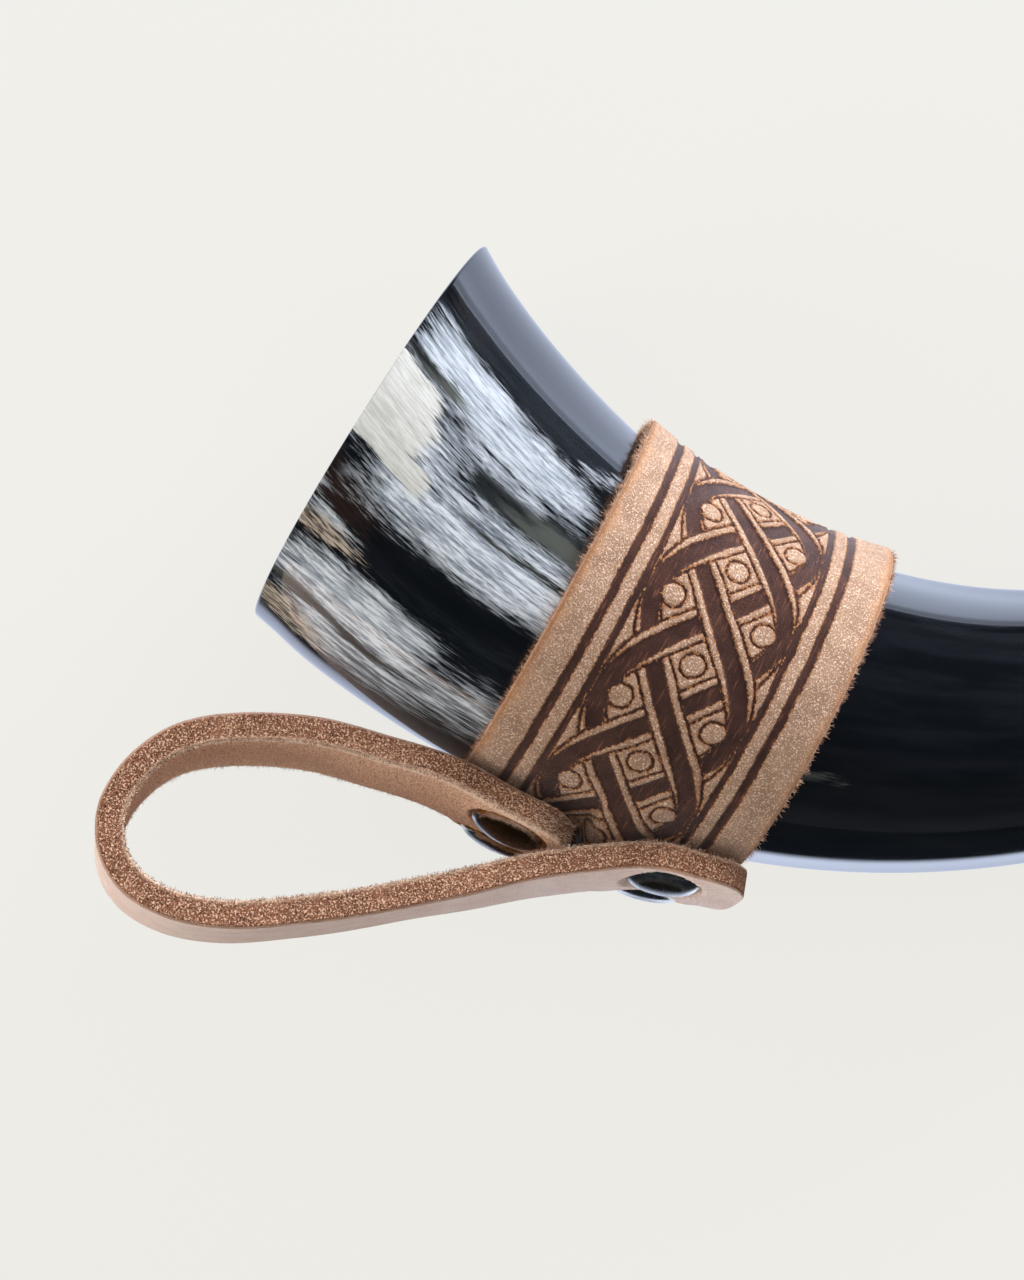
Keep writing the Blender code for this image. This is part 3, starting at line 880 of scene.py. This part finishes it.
def make_cuff(finish):
    profile = cuff_profile()
    half_seam = CUFF_SEAM / 2 / float(horn_radius(CUFF_MIDDLE))
    turns = np.linspace(CLOCK + half_seam, CLOCK + math.tau - half_seam, CUFF_SECTIONS)
    turn, v, rise, cut = np.broadcast_arrays(turns[:, None], *profile.T)
    width = CUFF_WIDTH / MM
    u = turn * CUFF_ROUND
    flat = np.stack((v, rise, u), -1) * MM
    tooling = plait(u + waves(flat, STRAY_ROUND), v + waves(flat, STRAY_ACROSS))
    face = ramp(rise, *FACE_HEIGHTS)
    pressed = PRESSED_DEPTH * (1 - ramp(tooling, *PRESSED_LEVELS))
    nap = GRAIN_HEIGHT * (waves(flat, CUFF_NAP) * ramp(tooling, *GRAIN_LEVELS) - 1)
    torn = cut * waves(flat, CUFF_TORN)
    height = rise + (nap - pressed) * face + FRAY * torn * ramp(rise, *FRAY_HEIGHTS)
    from_edge = np.minimum(v, width - v)
    frayed = FRAY * (1 - ramp(from_edge, *FRAY_REACH)) * (1 + torn)
    frayed_v = v + np.where(v < width / 2, frayed, -frayed)
    first, last = band_edge(CUFF_START, turn), band_edge(CUFF_END, turn)
    s = first + (last - first) * frayed_v / width
    across = v - BULGE_MIDDLE
    fall = np.where(across < 0, ramp(-across, *BULGE_MOUTH_SIDE), ramp(across, *BULGE_TIP_SIDE))
    bulge = BULGE * (1 - fall) * (1 - ramp(angle_off_zero(turn - CLOCK), *BULGE_TURNS))
    bulge = bulge * ramp(rise, 0.0, CUFF_THICKNESS / MM)
    points = skin_point(s, turn, FIT_GAP + height * MM + bulge)
    for _, foot, axis, _, _ in RIVETS:
        away, up = from_axis(points, foot, axis)
        pocket = 1 - ramp(away, BASE_RADIUS + FIT_GAP, BASE_RADIUS + 2.5 * FIT_GAP)
        pocket = pocket * (rise < INSIDE_TOP) * (np.abs(up) < POCKET_REACH)
        points = points + (pocket * (BASE_TOP + FIT_GAP - up))[..., None] * axis
    columns = len(profile)
    faces = tube_faces(CUFF_SECTIONS, columns)
    for first_point in (0, (CUFF_SECTIONS - 1) * columns):
        faces.append(list(range(first_point, first_point + columns)))
    values = {
        "tooling": tooling.ravel(),
        "cut": np.maximum(cut, rise < CUT_TOP).ravel(),
        "from_edge": from_edge.ravel(),
        "unrolled": flat.reshape(-1, 3),
    }
    add_piece("tooled_cuff", points.reshape(-1, 3), faces, values, finish, "holder", "tooled_leather", "cuff")


def make_tooled_finish():
    """Light leather, browner where it is handled and rubbed, dark and scratched where it is pressed."""
    finish, tree, shader = new_finish("tooled_leather")
    place = own_place(tree)
    fibre = place_group(tree, fibre_group, {"Place": place, "Fleck Scale": 3500.0, "Pore Scale": 3900.0})
    blotch = noise(tree, place, 260.0, 3.0, 0.55)
    rough_edge = noise(tree, place, 1900.0, 2.0, 0.6)
    from_edge = kept_value(tree, "from_edge")
    light = toned(tree, blotch, 0.35, 0.65, "866956", "997b66")
    light = mixed(tree, scaled(tree, fibre["Fleck"], 0.85), light, "d4bba7")
    light = mixed(tree, scaled(tree, fibre["Pore"], 0.65), light, "8d6749")
    light = toned(tree, plus(tree, from_edge, blotch, -3.4), 0.6, -1.2, light, "a87a55", 0.5)
    rubbed = plus(tree, from_edge, eased(tree, rough_edge, 0.3, 0.7, -0.3, 0.3))
    light = toned(tree, rubbed, 1.1, 0.4, light, "84552f", 0.7)
    tooling = plus(tree, kept_value(tree, "tooling"), eased(tree, rough_edge, 0.3, 0.7, -0.11, 0.11))
    burnt = toned(tree, rough_edge, 0.35, 0.65, "7d4f31", "9d6b41")
    raised = toned(tree, tooling, 0.03, 0.26, burnt, light)
    strokes = {"Place": kept_place(tree, "unrolled"), "Length": (3000.0, 900.0, 260.0), "Amount": 0.6}
    pressed = toned(tree, blotch, 0.3, 0.7, "351f1a", "442a22")
    pressed = mixed(tree, place_group(tree, scratch_group, strokes)["Scratch"], pressed, "7d4d3a")
    face = toned(tree, tooling, -0.05, 0.05, pressed, raised)
    torn = mixed(tree, fibre["Fleck"], "b4856a", "dcb497")
    torn = mixed(tree, fibre["Pore"], torn, "7a5340")
    levels = {
        "Base Color": toned(tree, kept_value(tree, "cut"), 0.35, 0.85, face, torn),
        "Roughness": eased(tree, tooling, -0.1, 0.2, 0.46, 0.78),
        "Specular IOR Level": 0.35,
        "Sheen Weight": 0.18,
        "Sheen Roughness": 0.45,
        "Normal": bump(tree, fibre["Nap"], 0.5, 0.0004),
    }
    fill(tree, shader, levels)
    return finish


# Strap

STRAP_STEP = 0.00036
END_STEPS = 30
ROUND_STEPS = 5
FACE_COLUMNS = 64
EDGE_ROWS = 16
FACE_SHARES = np.linspace(-1, 1, FACE_COLUMNS + 1)
EDGE_SHARES = np.linspace(1, -1, EDGE_ROWS + 1)[1:-1]

# Waves of the torn edges and of the nap, sunk by their top, and their heights in mm
STRAP_TORN = ((1.0, 0.0007, 21), (0.6, 0.00035, 22))
STRAP_NAP = ((1.0, 0.0008, 23), (0.6, 0.0004, 24))
STRAP_WAVES_TOP = 1.2
CUT_ROUGHNESS = 0.10
FLESH_ROUGHNESS = 0.06

# Burr along the flesh side of the cut edges: height in mm, place and reach through the strap
BURR = 0.14
BURR_THROUGH = -0.93
BURR_REACH = 0.16

# A share across or through from which a point belongs to the face itself
AT_FACE = 0.999

# Seats that the caps press in, and the lip of leather that rises round them, by the distance
# from the rivet's axis
CAP_SEAT = (CAP_RADIUS + 0.0001, CAP_RADIUS + 0.0007)
SEAT_REACH = 0.003
LIP_HEIGHT = 0.00022
LIP_TOP = CAP_RADIUS + 0.0008
LIP_END = CAP_RADIUS + 0.0030


def set_back(radius, depth):
    """How far a rounded corner stands back from the plain edge, at a depth from the other edge."""
    short = np.maximum(0.0, radius - depth)
    return radius - np.sqrt(radius**2 - short**2)


def strap_half_width(distance):
    from_end = np.minimum(distance, STRAP_LENGTH - distance)
    return STRAP_WIDTH / 2 - set_back(STRAP_CORNER_RADIUS, from_end)


def strap_surface(distance, a, b):
    """Strap points for a share a across and b through, and the same points on the straight strap.

    The edges are rounded, the cut edges rough and the rivets' seats pressed in.
    """
    from_end = np.minimum(distance, STRAP_LENGTH - distance)
    half = strap_half_width(distance)
    thick = STRAP_THICKNESS / 2
    w = a * half
    h = b * (thick - set_back(STRAP_EDGE_ROUND, from_end))
    most_w = half - set_back(STRAP_EDGE_ROUND, thick - np.abs(h))
    most_h = thick - set_back(STRAP_EDGE_ROUND, half - np.abs(w))
    w = np.clip(w, -most_w, most_w)
    h = np.clip(h, -most_h, most_h)
    flat = np.stack((distance, w, h), -1)
    on_cut = (np.abs(a) > AT_FACE) | (from_end == 0)
    torn = waves(flat, STRAP_TORN)
    burr = BURR * (1 - ramp(np.abs(h / thick - BURR_THROUGH), 0.0, BURR_REACH)) * (0.6 + 0.6 * torn)
    w = w + np.sign(a) * MM * on_cut * (CUT_ROUGHNESS * (torn - STRAP_WAVES_TOP) + burr)
    nap = FLESH_ROUGHNESS * (waves(flat, STRAP_NAP) - STRAP_WAVES_TOP)
    h = h - MM * np.where(b < -AT_FACE, nap, 0.0)
    points = strap_point(distance, w, h)
    for _, foot, axis, grip, outer_side in RIVETS:
        away, up = from_axis(points, foot, axis)
        on_face = (b * outer_side > AT_FACE) & (np.abs(up - grip) < SEAT_REACH)
        sink = CAP_SINK * (1 - ramp(away, *CAP_SEAT))
        lip = LIP_HEIGHT * ramp(away, CAP_RADIUS, LIP_TOP) * (1 - ramp(away, LIP_TOP, LIP_END))
        points = points + (on_face * (lip - sink))[..., None] * axis
    return points, flat


def strap_ring():
    """(across, through) from -1 to 1 round one section: grain face, cut edge, flesh face, cut edge."""
    ring = [(a, 1.0) for a in FACE_SHARES] + [(1.0, b) for b in EDGE_SHARES]
    ring += [(a, -1.0) for a in reversed(FACE_SHARES)] + [(-1.0, b) for b in reversed(EDGE_SHARES)]
    return np.array(ring)


def strap_stations():
    """Distances of the sections along the strap, closest together where its ends are rounded."""
    corner = STRAP_CORNER_RADIUS * (1 - np.cos(quarter(END_STEPS)))
    edge = STRAP_EDGE_ROUND * (1 - np.cos(quarter(ROUND_STEPS)))
    ends = np.unique(np.round(np.concatenate((edge, corner)), 6))
    count = round((STRAP_LENGTH - 2 * STRAP_CORNER_RADIUS) / STRAP_STEP)
    middle = np.linspace(STRAP_CORNER_RADIUS, STRAP_LENGTH - STRAP_CORNER_RADIUS, count + 1)[1:-1]
    return np.concatenate((ends, middle, STRAP_LENGTH - ends[::-1]))


def end_grid(ring, inner):
    """Point numbers over a cut end: from ring on along its outline, from inner on inside it."""
    grid = np.zeros((EDGE_ROWS + 1, FACE_COLUMNS + 1), int)
    face = np.arange(FACE_COLUMNS + 1)
    edge = np.arange(1, EDGE_ROWS)
    half_round = ring + FACE_COLUMNS + EDGE_ROWS
    grid[0] = ring + face
    grid[1:-1, -1] = ring + FACE_COLUMNS + edge
    grid[-1] = half_round + FACE_COLUMNS - face
    grid[1:-1, 0] = half_round + FACE_COLUMNS + EDGE_ROWS - edge
    inside = grid[1:-1, 1:-1]
    inside[:] = inner + np.arange(inside.size).reshape(inside.shape)
    return grid


def make_strap(finish):
    stations = strap_stations()
    distance, a, b = np.broadcast_arrays(stations[:, None], *strap_ring().T)
    columns = a.shape[1]
    faces = tube_faces(len(stations), columns)
    sheets = [(*strap_surface(distance, a, b), b, STRAP_WIDTH / 2 * (1 - np.abs(a)))]
    count = a.size
    for station, ring in ((0.0, 0), (STRAP_LENGTH, count - columns)):
        faces += grid_faces(end_grid(ring, count))
        b, a = np.meshgrid(EDGE_SHARES, FACE_SHARES[1:-1], indexing="ij")
        sheets.append((*strap_surface(np.full(a.shape, station), a, b), b, np.zeros(a.shape)))
        count += a.size
    points, flat, through, from_cut = zip(*sheets)
    every, unrolled = (np.concatenate([sheet.reshape(-1, 3) for sheet in rows]) for rows in (points, flat))
    values = {
        "through": np.concatenate([sheet.ravel() for sheet in through]),
        "from_cut": np.concatenate([sheet.ravel() for sheet in from_cut]),
        "unrolled": unrolled,
    }
    add_piece("belt_loop_strap", every, faces, values, finish, "holder", "harness_leather", "strap")


def make_strap_finish():
    """Pale smooth grain side, darker cut edges, rough flesh side, and a painted highlight along the burr and
    along the flesh side next to the cut edges.
    """
    finish, tree, shader = new_finish("harness_leather")
    place = own_place(tree)
    unrolled = kept_place(tree, "unrolled")
    through = kept_value(tree, "through")
    fibre = place_group(tree, fibre_group, {"Place": place, "Fleck Scale": 3300.0, "Pore Scale": 3500.0})
    blotch = noise(tree, place, 150.0, 3.0, 0.55)
    cut = toned(tree, blotch, 0.35, 0.65, "7a4d38", "8d5f47")
    cut = mixed(tree, scaled(tree, fibre["Pore"], 0.95), cut, "301c14")
    cut = mixed(tree, scaled(tree, fibre["Fleck"], 0.85), cut, "eac4a7")
    # Painted highlight: a pale band along the flesh side of the cut edges, where the burr's fuzz catches
    # light.
    cut = toned(tree, through, -0.55, -0.93, cut, "e6c5a9", 0.7)
    cut = toned(tree, through, 0.80, 0.97, cut, "8a5531", 0.75)
    cut = toned(tree, part_of(tree, unrolled, "X"), 0.0090, 0.0010, cut, "4f3020", 0.65)
    # Painted shade: darker streaks on the grain side stand in for the shade in its creases.
    crease_shade = stretched_noise(tree, unrolled, (500.0, 1400.0, 500.0), 4.0, 0.6)
    grain = toned(tree, blotch, 0.32, 0.68, "e8ccc2", "f0d9d0")
    grain = toned(tree, crease_shade, 0.52, 0.70, grain, "b08c7b", 0.40)
    grain = mixed(tree, scaled(tree, fibre["Pore"], 0.25), grain, "a9836f")
    # Near the cut edges: darker grain from wear and edge creasing, and a painted highlight on the flesh side.
    edge_wear_and_highlight = plus(tree, kept_value(tree, "from_cut"), blotch, -0.0012)
    grain = toned(tree, edge_wear_and_highlight, 0.0004, -0.0004, grain, "a06f4a", 0.7)
    flesh = mixed(tree, fibre["Fleck"], "d0a58a", "f6dac4")
    flesh = mixed(tree, scaled(tree, fibre["Pore"], 0.85), flesh, "80573f")
    # Painted highlight: the flesh side turns pale next to the cut edges, where its fuzz catches light.
    flesh = toned(tree, edge_wear_and_highlight, 0.0016, 0.0002, flesh, "f0d6c0", 0.6)
    sides = toned(tree, through, 0.985, 0.999, cut, grain)
    levels = {
        "Base Color": toned(tree, through, -0.985, -0.999, sides, flesh),
        "Roughness": eased(tree, through, 0.97, 1.0, 0.85, 0.5),
        "Specular IOR Level": 0.3,
        "Normal": bump(tree, fibre["Nap"], 0.7, 0.0006),
    }
    fill(tree, shader, levels)
    return finish


# Rivets

CAP_SEGMENTS = 96
DOME_ROWS = 22
DOME_ARC = 0.96
ROLL_ROWS = 10
ROLL_START = 0.3


def dome_drop(share):
    return 1 - math.sqrt(1 - (DOME_ARC * share) ** 2)


def cap_outline(grip):
    """(radius, height over the cuff's inside) of a cap with its post, from the crown to the post's foot."""
    underside = grip - CAP_SINK + FIT_GAP
    crown = underside + CAP_HEIGHT
    roll = CAP_EDGE / 2
    shoulder = CAP_RADIUS - roll
    outline = []
    for share in np.linspace(0, 1, DOME_ROWS):
        fall = (CAP_HEIGHT - CAP_EDGE) * dome_drop(share) / dome_drop(1)
        outline.append((shoulder * share, crown - fall))
    for angle in np.linspace(ROLL_START, math.pi, ROLL_ROWS):
        outline.append((shoulder + roll * math.sin(angle), underside + roll * (1 + math.cos(angle))))
    return np.array(outline + [(POST_RADIUS, underside), (POST_RADIUS, BASE_TOP + FIT_GAP)])


def make_cap(name, foot, axis, grip, finish):
    outline = cap_outline(grip)
    rings = outline[1:]
    aside = aimed(np.cross(axis, TOWARDS_MOUTH))
    turn = np.linspace(0, math.tau, CAP_SEGMENTS, endpoint=False)[:, None]
    spokes = np.cos(turn) * aside + np.sin(turn) * np.cross(axis, aside)
    points = foot + rings[:, None, :1] * spokes + rings[:, None, 1:] * axis
    ends = foot + outline[[0, -1], 1:] * axis
    values = {"from_crown": np.append(np.repeat(rings[:, 0], CAP_SEGMENTS) / CAP_RADIUS, (0, 0))}
    every = np.concatenate((points.reshape(-1, 3), ends))
    faces = closed_faces(len(rings), CAP_SEGMENTS)
    add_piece(f"rivet_{name}", every, faces, values, finish, "holder", "rivet_metal", f"rivet_cap_{name}")


def make_rivet_finish(name, crown_reflection_tones=None, dark_crown_edge=(0.0, 0.0)):
    """Nickel plate, with brass at the rim where crown tones are given. These tones paint the crown dark and
    brown: a painted reflection of the dark room and the leather round the cap.
    """
    finish, tree, shader = new_finish(name)
    place = own_place(tree)
    lines = {"Place": place, "Length": (700.0, 5200.0, 2200.0), "Amount": 1.0}
    scratch = place_group(tree, scratch_group, lines)["Scratch"]
    tarnish = noise(tree, place, 900.0, 3.0, 0.6)
    metal = toned(tree, tarnish, 0.4, 0.7, "cfccc6", "aaa49a")
    metallic = 1.0
    if crown_reflection_tones:
        # Painted reflection: the crown tones stand in for the dark room and leather that the dome mirrors.
        out_from_crown = plus(tree, kept_value(tree, "from_crown"), eased(tree, tarnish, 0.3, 0.7, -0.04, 0.04))
        crown = toned(tree, tarnish, 0.35, 0.7, *crown_reflection_tones)
        metallic = eased(tree, out_from_crown, *dark_crown_edge, 0.85, 1.0)
        metal = toned(tree, out_from_crown, *dark_crown_edge, crown, metal)
        metal = toned(tree, out_from_crown, 0.92, 0.985, metal, "c79f4e", 0.9)
    levels = {
        "Base Color": metal,
        "Metallic": metallic,
        "Roughness": plus(tree, eased(tree, tarnish, 0.35, 0.75, 0.14, 0.30), scratch, 0.14),
        "Normal": bump(tree, scratch, 0.05, 0.00005),
    }
    fill(tree, shader, levels)
    return finish


# Loose fibres along the cut edges, left out where they would reach into the table

FIBRE_CLEARANCE = 0.0002
FIBRE_ROOT = 0.0002
FIBRE_SHARES = (0.0, 0.4, 0.75)
FIBRE_POINTS = 3 * len(FIBRE_SHARES) + 1
CUFF_FIBRES = 5200
CUFF_TUFTS = 190
TUFT_SPREAD = 0.008
STRAP_FIBRES = 17000
FRINGE = 0.0008
FLESH_REACH = 0.012
END_FIBRES = 1800
END_DEPTH = 0.0004


def make_fibres(name, roots, ways, lengths, widths, finish, slot, dice):
    """Short tapering hairs, one for each root, bent a little to one side, each of its own shade."""
    count = len(roots)
    side = aimed(np.cross(ways, dice.normal(size=(count, 3))))
    third = np.cross(ways, side)
    bend = side * (dice.uniform(-0.5, 0.5, count) * lengths)[:, None]
    points = []
    for share in FIBRE_SHARES:
        middle = roots + ways * (lengths * share)[:, None] + bend * share**2
        size = (widths * (1 - 0.6 * share))[:, None]
        for angle in (0.0, math.tau / 3, 2 * math.tau / 3):
            points.append(middle + size * (math.cos(angle) * side + math.sin(angle) * third))
    points.append(roots + ways * lengths[:, None] + bend)
    points = np.stack(points, 1)
    points = points[lay_down(points)[:, :, 2].min(axis=1) > FIBRE_CLEARANCE]
    count = len(points)
    hair = [(k + j, k + (j + 1) % 3, k + 3 + (j + 1) % 3, k + 3 + j) for k in (0, 3) for j in range(3)]
    tip = [(6 + j, 6 + (j + 1) % 3, 9) for j in range(3)] + [(2, 1, 0)]
    starts = FIBRE_POINTS * np.arange(count)[:, None, None]
    faces = (starts + np.array(hair)).reshape(-1, 4).tolist()
    faces += (starts + np.array(tip)).reshape(-1, 3).tolist()
    values = {"shade": np.repeat(dice.random(count), FIBRE_POINTS)}
    add_piece(name, points.reshape(-1, 3), faces, values, finish, "holder", slot)


def make_fibre_finish(name, dark, middle, pale):
    finish, tree, shader = new_finish(name)
    shade = kept_value(tree, "shade")
    tone = toned(tree, shade, 0.05, 0.5, dark, middle)
    levels = {
        "Base Color": toned(tree, shade, 0.5, 0.95, tone, pale),
        "Roughness": eased(tree, shade, 0.0, 1.0, 0.75, 0.92),
        "Specular IOR Level": 0.25,
    }
    fill(tree, shader, levels)
    return finish


def make_cuff_fibres(finish):
    """Fibres along both edges of the cuff, some of them longer and in tufts."""
    dice = np.random.default_rng(23)
    count = CUFF_FIBRES
    turn = dice.uniform(CLOCK + 0.05, CLOCK + math.tau - 0.05, count)
    tufts = dice.uniform(CLOCK + 0.08, CLOCK + math.tau - 0.08, CUFF_TUFTS)
    in_tuft = dice.random(count) < 0.4
    turn = np.where(in_tuft, dice.choice(tufts, count) + TUFT_SPREAD * dice.normal(size=count), turn)
    at_mouth = dice.random(count) < 0.45
    height = dice.uniform(0.3, 2.8, count) * MM
    edge = np.where(at_mouth, band_edge(CUFF_START, turn), band_edge(CUFF_END, turn))
    outwards = np.where(at_mouth, -1.0, 1.0)
    roots = skin_point(edge - outwards * FIBRE_ROOT, turn, FIT_GAP + height)
    ways = outwards[:, None] * tangent(edge) + 0.5 * spoke(edge, turn) + 0.6 * dice.normal(size=(count, 3))
    lengths = np.where(in_tuft, dice.uniform(0.6, 1.3, count), dice.uniform(0.30, 0.85, count)) * MM
    widths = dice.uniform(0.025, 0.06, count) * MM
    make_fibres("cuff_edge_fibres", roots, aimed(ways), lengths, widths, finish, "tooled_leather", dice)


def make_strap_fibres(finish):
    """Nap all over the cut edges, thickest along the flesh side, and on the flesh side next to them."""
    dice = np.random.default_rng(29)
    count = STRAP_FIBRES
    distance = dice.uniform(0.003, STRAP_LENGTH - 0.003, count)
    upper = np.where(dice.random(count) < 0.6, 1.0, -1.0)
    kind = dice.random(count)
    on_fringe = kind < 0.25
    on_flesh = kind > 0.80
    thick = STRAP_THICKNESS / 2
    inwards = np.where(on_flesh, FLESH_REACH * dice.random(count) ** 2, FIBRE_ROOT)
    fringe_h = dice.uniform(0.0, FRINGE, count) - thick
    h = np.where(on_fringe, fringe_h, dice.uniform(-thick, 0.88 * thick, count))
    h = np.where(on_flesh, 0.00015 - thick, h)
    roots = strap_point(distance, upper * (strap_half_width(distance) - inwards), h)
    _, grain = strap_frame(distance)
    to_edge = np.where(on_flesh, 0.2, 0.6) * upper
    to_flesh = np.where(on_flesh, 0.6, np.where(on_fringe, 0.5, 0.0))
    ways = to_edge[:, None] * ACROSS - to_flesh[:, None] * grain + 0.65 * dice.normal(size=(count, 3))
    lengths = dice.uniform(0.25, 0.65, count) * MM
    widths = dice.uniform(0.025, 0.06, count) * MM
    make_fibres("strap_edge_fibres", roots, aimed(ways), lengths, widths, finish, "harness_leather", dice)


def make_end_fibres(finish):
    """Longer loose fibres on the cut end of the near seat, where the far arm crosses over it."""
    dice = np.random.default_rng(31)
    count = END_FIBRES
    back = STRAP_CORNER_RADIUS * dice.random(count) ** 2
    distance = STRAP_LENGTH - back
    anywhere = dice.uniform(-1, 1, count)
    either_side = np.sign(dice.uniform(-1, 1, count))
    w = strap_half_width(distance) * np.where(back < END_DEPTH, anywhere, either_side)
    h = dice.uniform(-0.8, 0.8, count) * STRAP_THICKNESS / 2
    roots = strap_point(distance - FIBRE_ROOT, w, h)
    along = (strap_point(distance, w, h) - strap_point(distance - MM, w, h)) / MM
    ways = aimed(along + 0.5 * dice.normal(size=(count, 3)))
    lengths = dice.uniform(0.4, 1.4, count) * MM
    widths = dice.uniform(0.03, 0.06, count) * MM
    make_fibres("strap_end_fibres", roots, ways, lengths, widths, finish, "harness_leather", dice)


# Stage, light and camera. What the polish mirrors is set apart from what the camera sees.

PALE = paint("f0efea")
LIT_PAPER = (1.45, 1.65, 2.10, 1.0)
SHADED_PAPER = (0.61, 0.68, 0.87, 1.0)
DARK_ROOM = (0.015, 0.020, 0.027, 1.0)
ROOM_FLOOR = (0.05, 0.055, 0.065, 1.0)
EVEN_LIGHT = (0.42, 0.42, 0.43, 1.0)
WARM_LIGHT = (1.04, 1.0, 0.91)
COOL_LIGHT = (0.96, 1.0, 1.08)

FLOOR_REACH = 4.0
PAPER_REACH = 0.182
PAPER_EDGE = 0.016
PLAIN_SHARE = 0.93
PLAIN_STRENGTH = 0.965

CAMERA_PLACE = (-0.04988, -0.06019, 0.525)
CAMERA_TURN = math.radians(32.1)


def seen_plainly(tree):
    """Share of plain colour: all of it in a reflection, most of it directly or through glass.

    What is left of the lit floor keeps the shadow.
    """
    path = add_node(tree, "ShaderNodeLightPath").outputs
    direct = maths(tree, "MAXIMUM", path["Is Camera Ray"], path["Is Transmission Ray"])
    return maths(tree, "MAXIMUM", scaled(tree, direct, PLAIN_SHARE), path["Is Glossy Ray"])


def make_floor():
    """A pale table. In the polish it shows as lit paper that ends a little outside the horn's bend."""
    mesh = bpy.data.meshes.new("floor")
    corners = [(x * FLOOR_REACH, y * FLOOR_REACH, 0) for x, y in ((-1, -1), (1, -1), (1, 1), (-1, 1))]
    mesh.from_pydata(corners, [], [(0, 1, 2, 3)])
    finish, tree, shader = new_finish("pale_floor")
    fill(tree, shader, {"Base Color": PALE, "Roughness": 1.0, "Specular IOR Level": 0.0})
    place = own_place(tree)
    points = {0: place, 1: (BEND_MIDDLE[0], BEND_MIDDLE[1], 0.0)}
    distance = add_node(tree, "ShaderNodeVectorMath", points, operation="DISTANCE").outputs["Value"]
    from_line = maths(tree, "ABSOLUTE", maths(tree, "SUBTRACT", distance, BEND_RADIUS))
    paper = toned(tree, from_line, 0.030, 0.062, SHADED_PAPER, LIT_PAPER)
    paper = toned(tree, part_of(tree, place, "X"), -0.07, 0.02, SHADED_PAPER, paper)
    mirrored = toned(tree, distance, PAPER_REACH, PAPER_REACH + PAPER_EDGE, paper, DARK_ROOM)
    in_polish = add_node(tree, "ShaderNodeLightPath").outputs["Is Glossy Ray"]
    look = mixed(tree, in_polish, PALE, mirrored)
    glow = add_node(tree, "ShaderNodeEmission", {"Color": look, "Strength": PLAIN_STRENGTH}).outputs[0]
    both = add_node(tree, "ShaderNodeMixShader", {0: seen_plainly(tree), 1: shader.outputs[0], 2: glow})
    fill(tree, tree.nodes["Material Output"], {"Surface": both.outputs[0]})
    mesh.materials.append(finish)
    put_in_scene("floor", mesh)


def make_world():
    """Pale to the camera, a dark room to reflections, even to everything else."""
    world = bpy.data.worlds.new("studio")
    bpy.context.scene.world = world
    world.use_nodes = True
    tree = world.node_tree
    path = add_node(tree, "ShaderNodeLightPath").outputs
    rise = part_of(tree, add_node(tree, "ShaderNodeTexCoord").outputs["Generated"], "Z")
    mirrored = toned(tree, rise, 0.02, 0.5, ROOM_FLOOR, DARK_ROOM)
    unseen = mixed(tree, path["Is Glossy Ray"], EVEN_LIGHT, mirrored)
    seen = mixed(tree, path["Is Camera Ray"], unseen, PALE)
    fill(tree, tree.nodes["Background"], {"Color": seen})


def add_softbox(name, place, target, size, power, colour):
    """A softbox that lights the object but doesn't show in its polish."""
    lamp = bpy.data.lights.new(name, "AREA")
    lamp.shape = "SQUARE"
    lamp.size = size
    lamp.energy = power
    lamp.color = colour
    box = put_in_scene(name, lamp)
    box.location = place
    box.rotation_euler = (Vector(target) - Vector(place)).to_track_quat("-Z", "Y").to_euler()
    box.visible_glossy = False


def make_camera():
    camera = bpy.data.cameras.new("camera")
    camera.lens = 85.0
    camera.sensor_width = 36.0
    camera.clip_start = 0.01
    stand = put_in_scene("camera", camera)
    stand.location = CAMERA_PLACE
    stand.rotation_euler = (0.0, 0.0, CAMERA_TURN)
    bpy.context.scene.camera = stand


tooled = make_tooled_finish()
strap_leather = make_strap_finish()
# The crown tones of the caps are painted reflection, darkest on the mouth side.
cap_metals = {
    "tip": make_rivet_finish("rivet_cap_metal_tip", ("453b30", "2e261e"), (0.50, 0.82)),
    "mouth": make_rivet_finish("rivet_cap_metal_mouth", ("2a2117", "191309"), (0.80, 0.90)),
}
base_metal = make_rivet_finish("rivet_base_metal")
make_horn(make_horn_finish())
make_cuff(tooled)
make_strap(strap_leather)
for rivet_name, rivet_foot, rivet_axis, rivet_grip, _ in RIVETS:
    make_cap(rivet_name, rivet_foot, rivet_axis, rivet_grip, cap_metals[rivet_name.split("_")[0]])
    frame["nodes"][f"rivet_base_{rivet_name}"].material_slots[0].material = base_metal
make_cuff_fibres(make_fibre_finish("cuff_fibre", "7d5540", "b98c70", "e2bfa3"))
strap_fibre = make_fibre_finish("strap_fibre", "4d3125", "9a6d55", "ecd0b6")
make_strap_fibres(strap_fibre)
make_end_fibres(strap_fibre)

make_floor()
make_world()
add_softbox("overhead", (-0.10, 0.0, 1.10), (0.0, 0.0, 0.0), 1.10, 3.4, WARM_LIGHT)
add_softbox("side", (-0.70, -0.60, 0.45), (-0.03, -0.05, 0.02), 0.60, 7.0, WARM_LIGHT)
add_softbox("window", (0.10, 0.92, 0.24), (-0.03, -0.03, 0.03), 0.50, 25.0, COOL_LIGHT)
make_camera()
bpy.context.scene.view_settings.view_transform = "Standard"
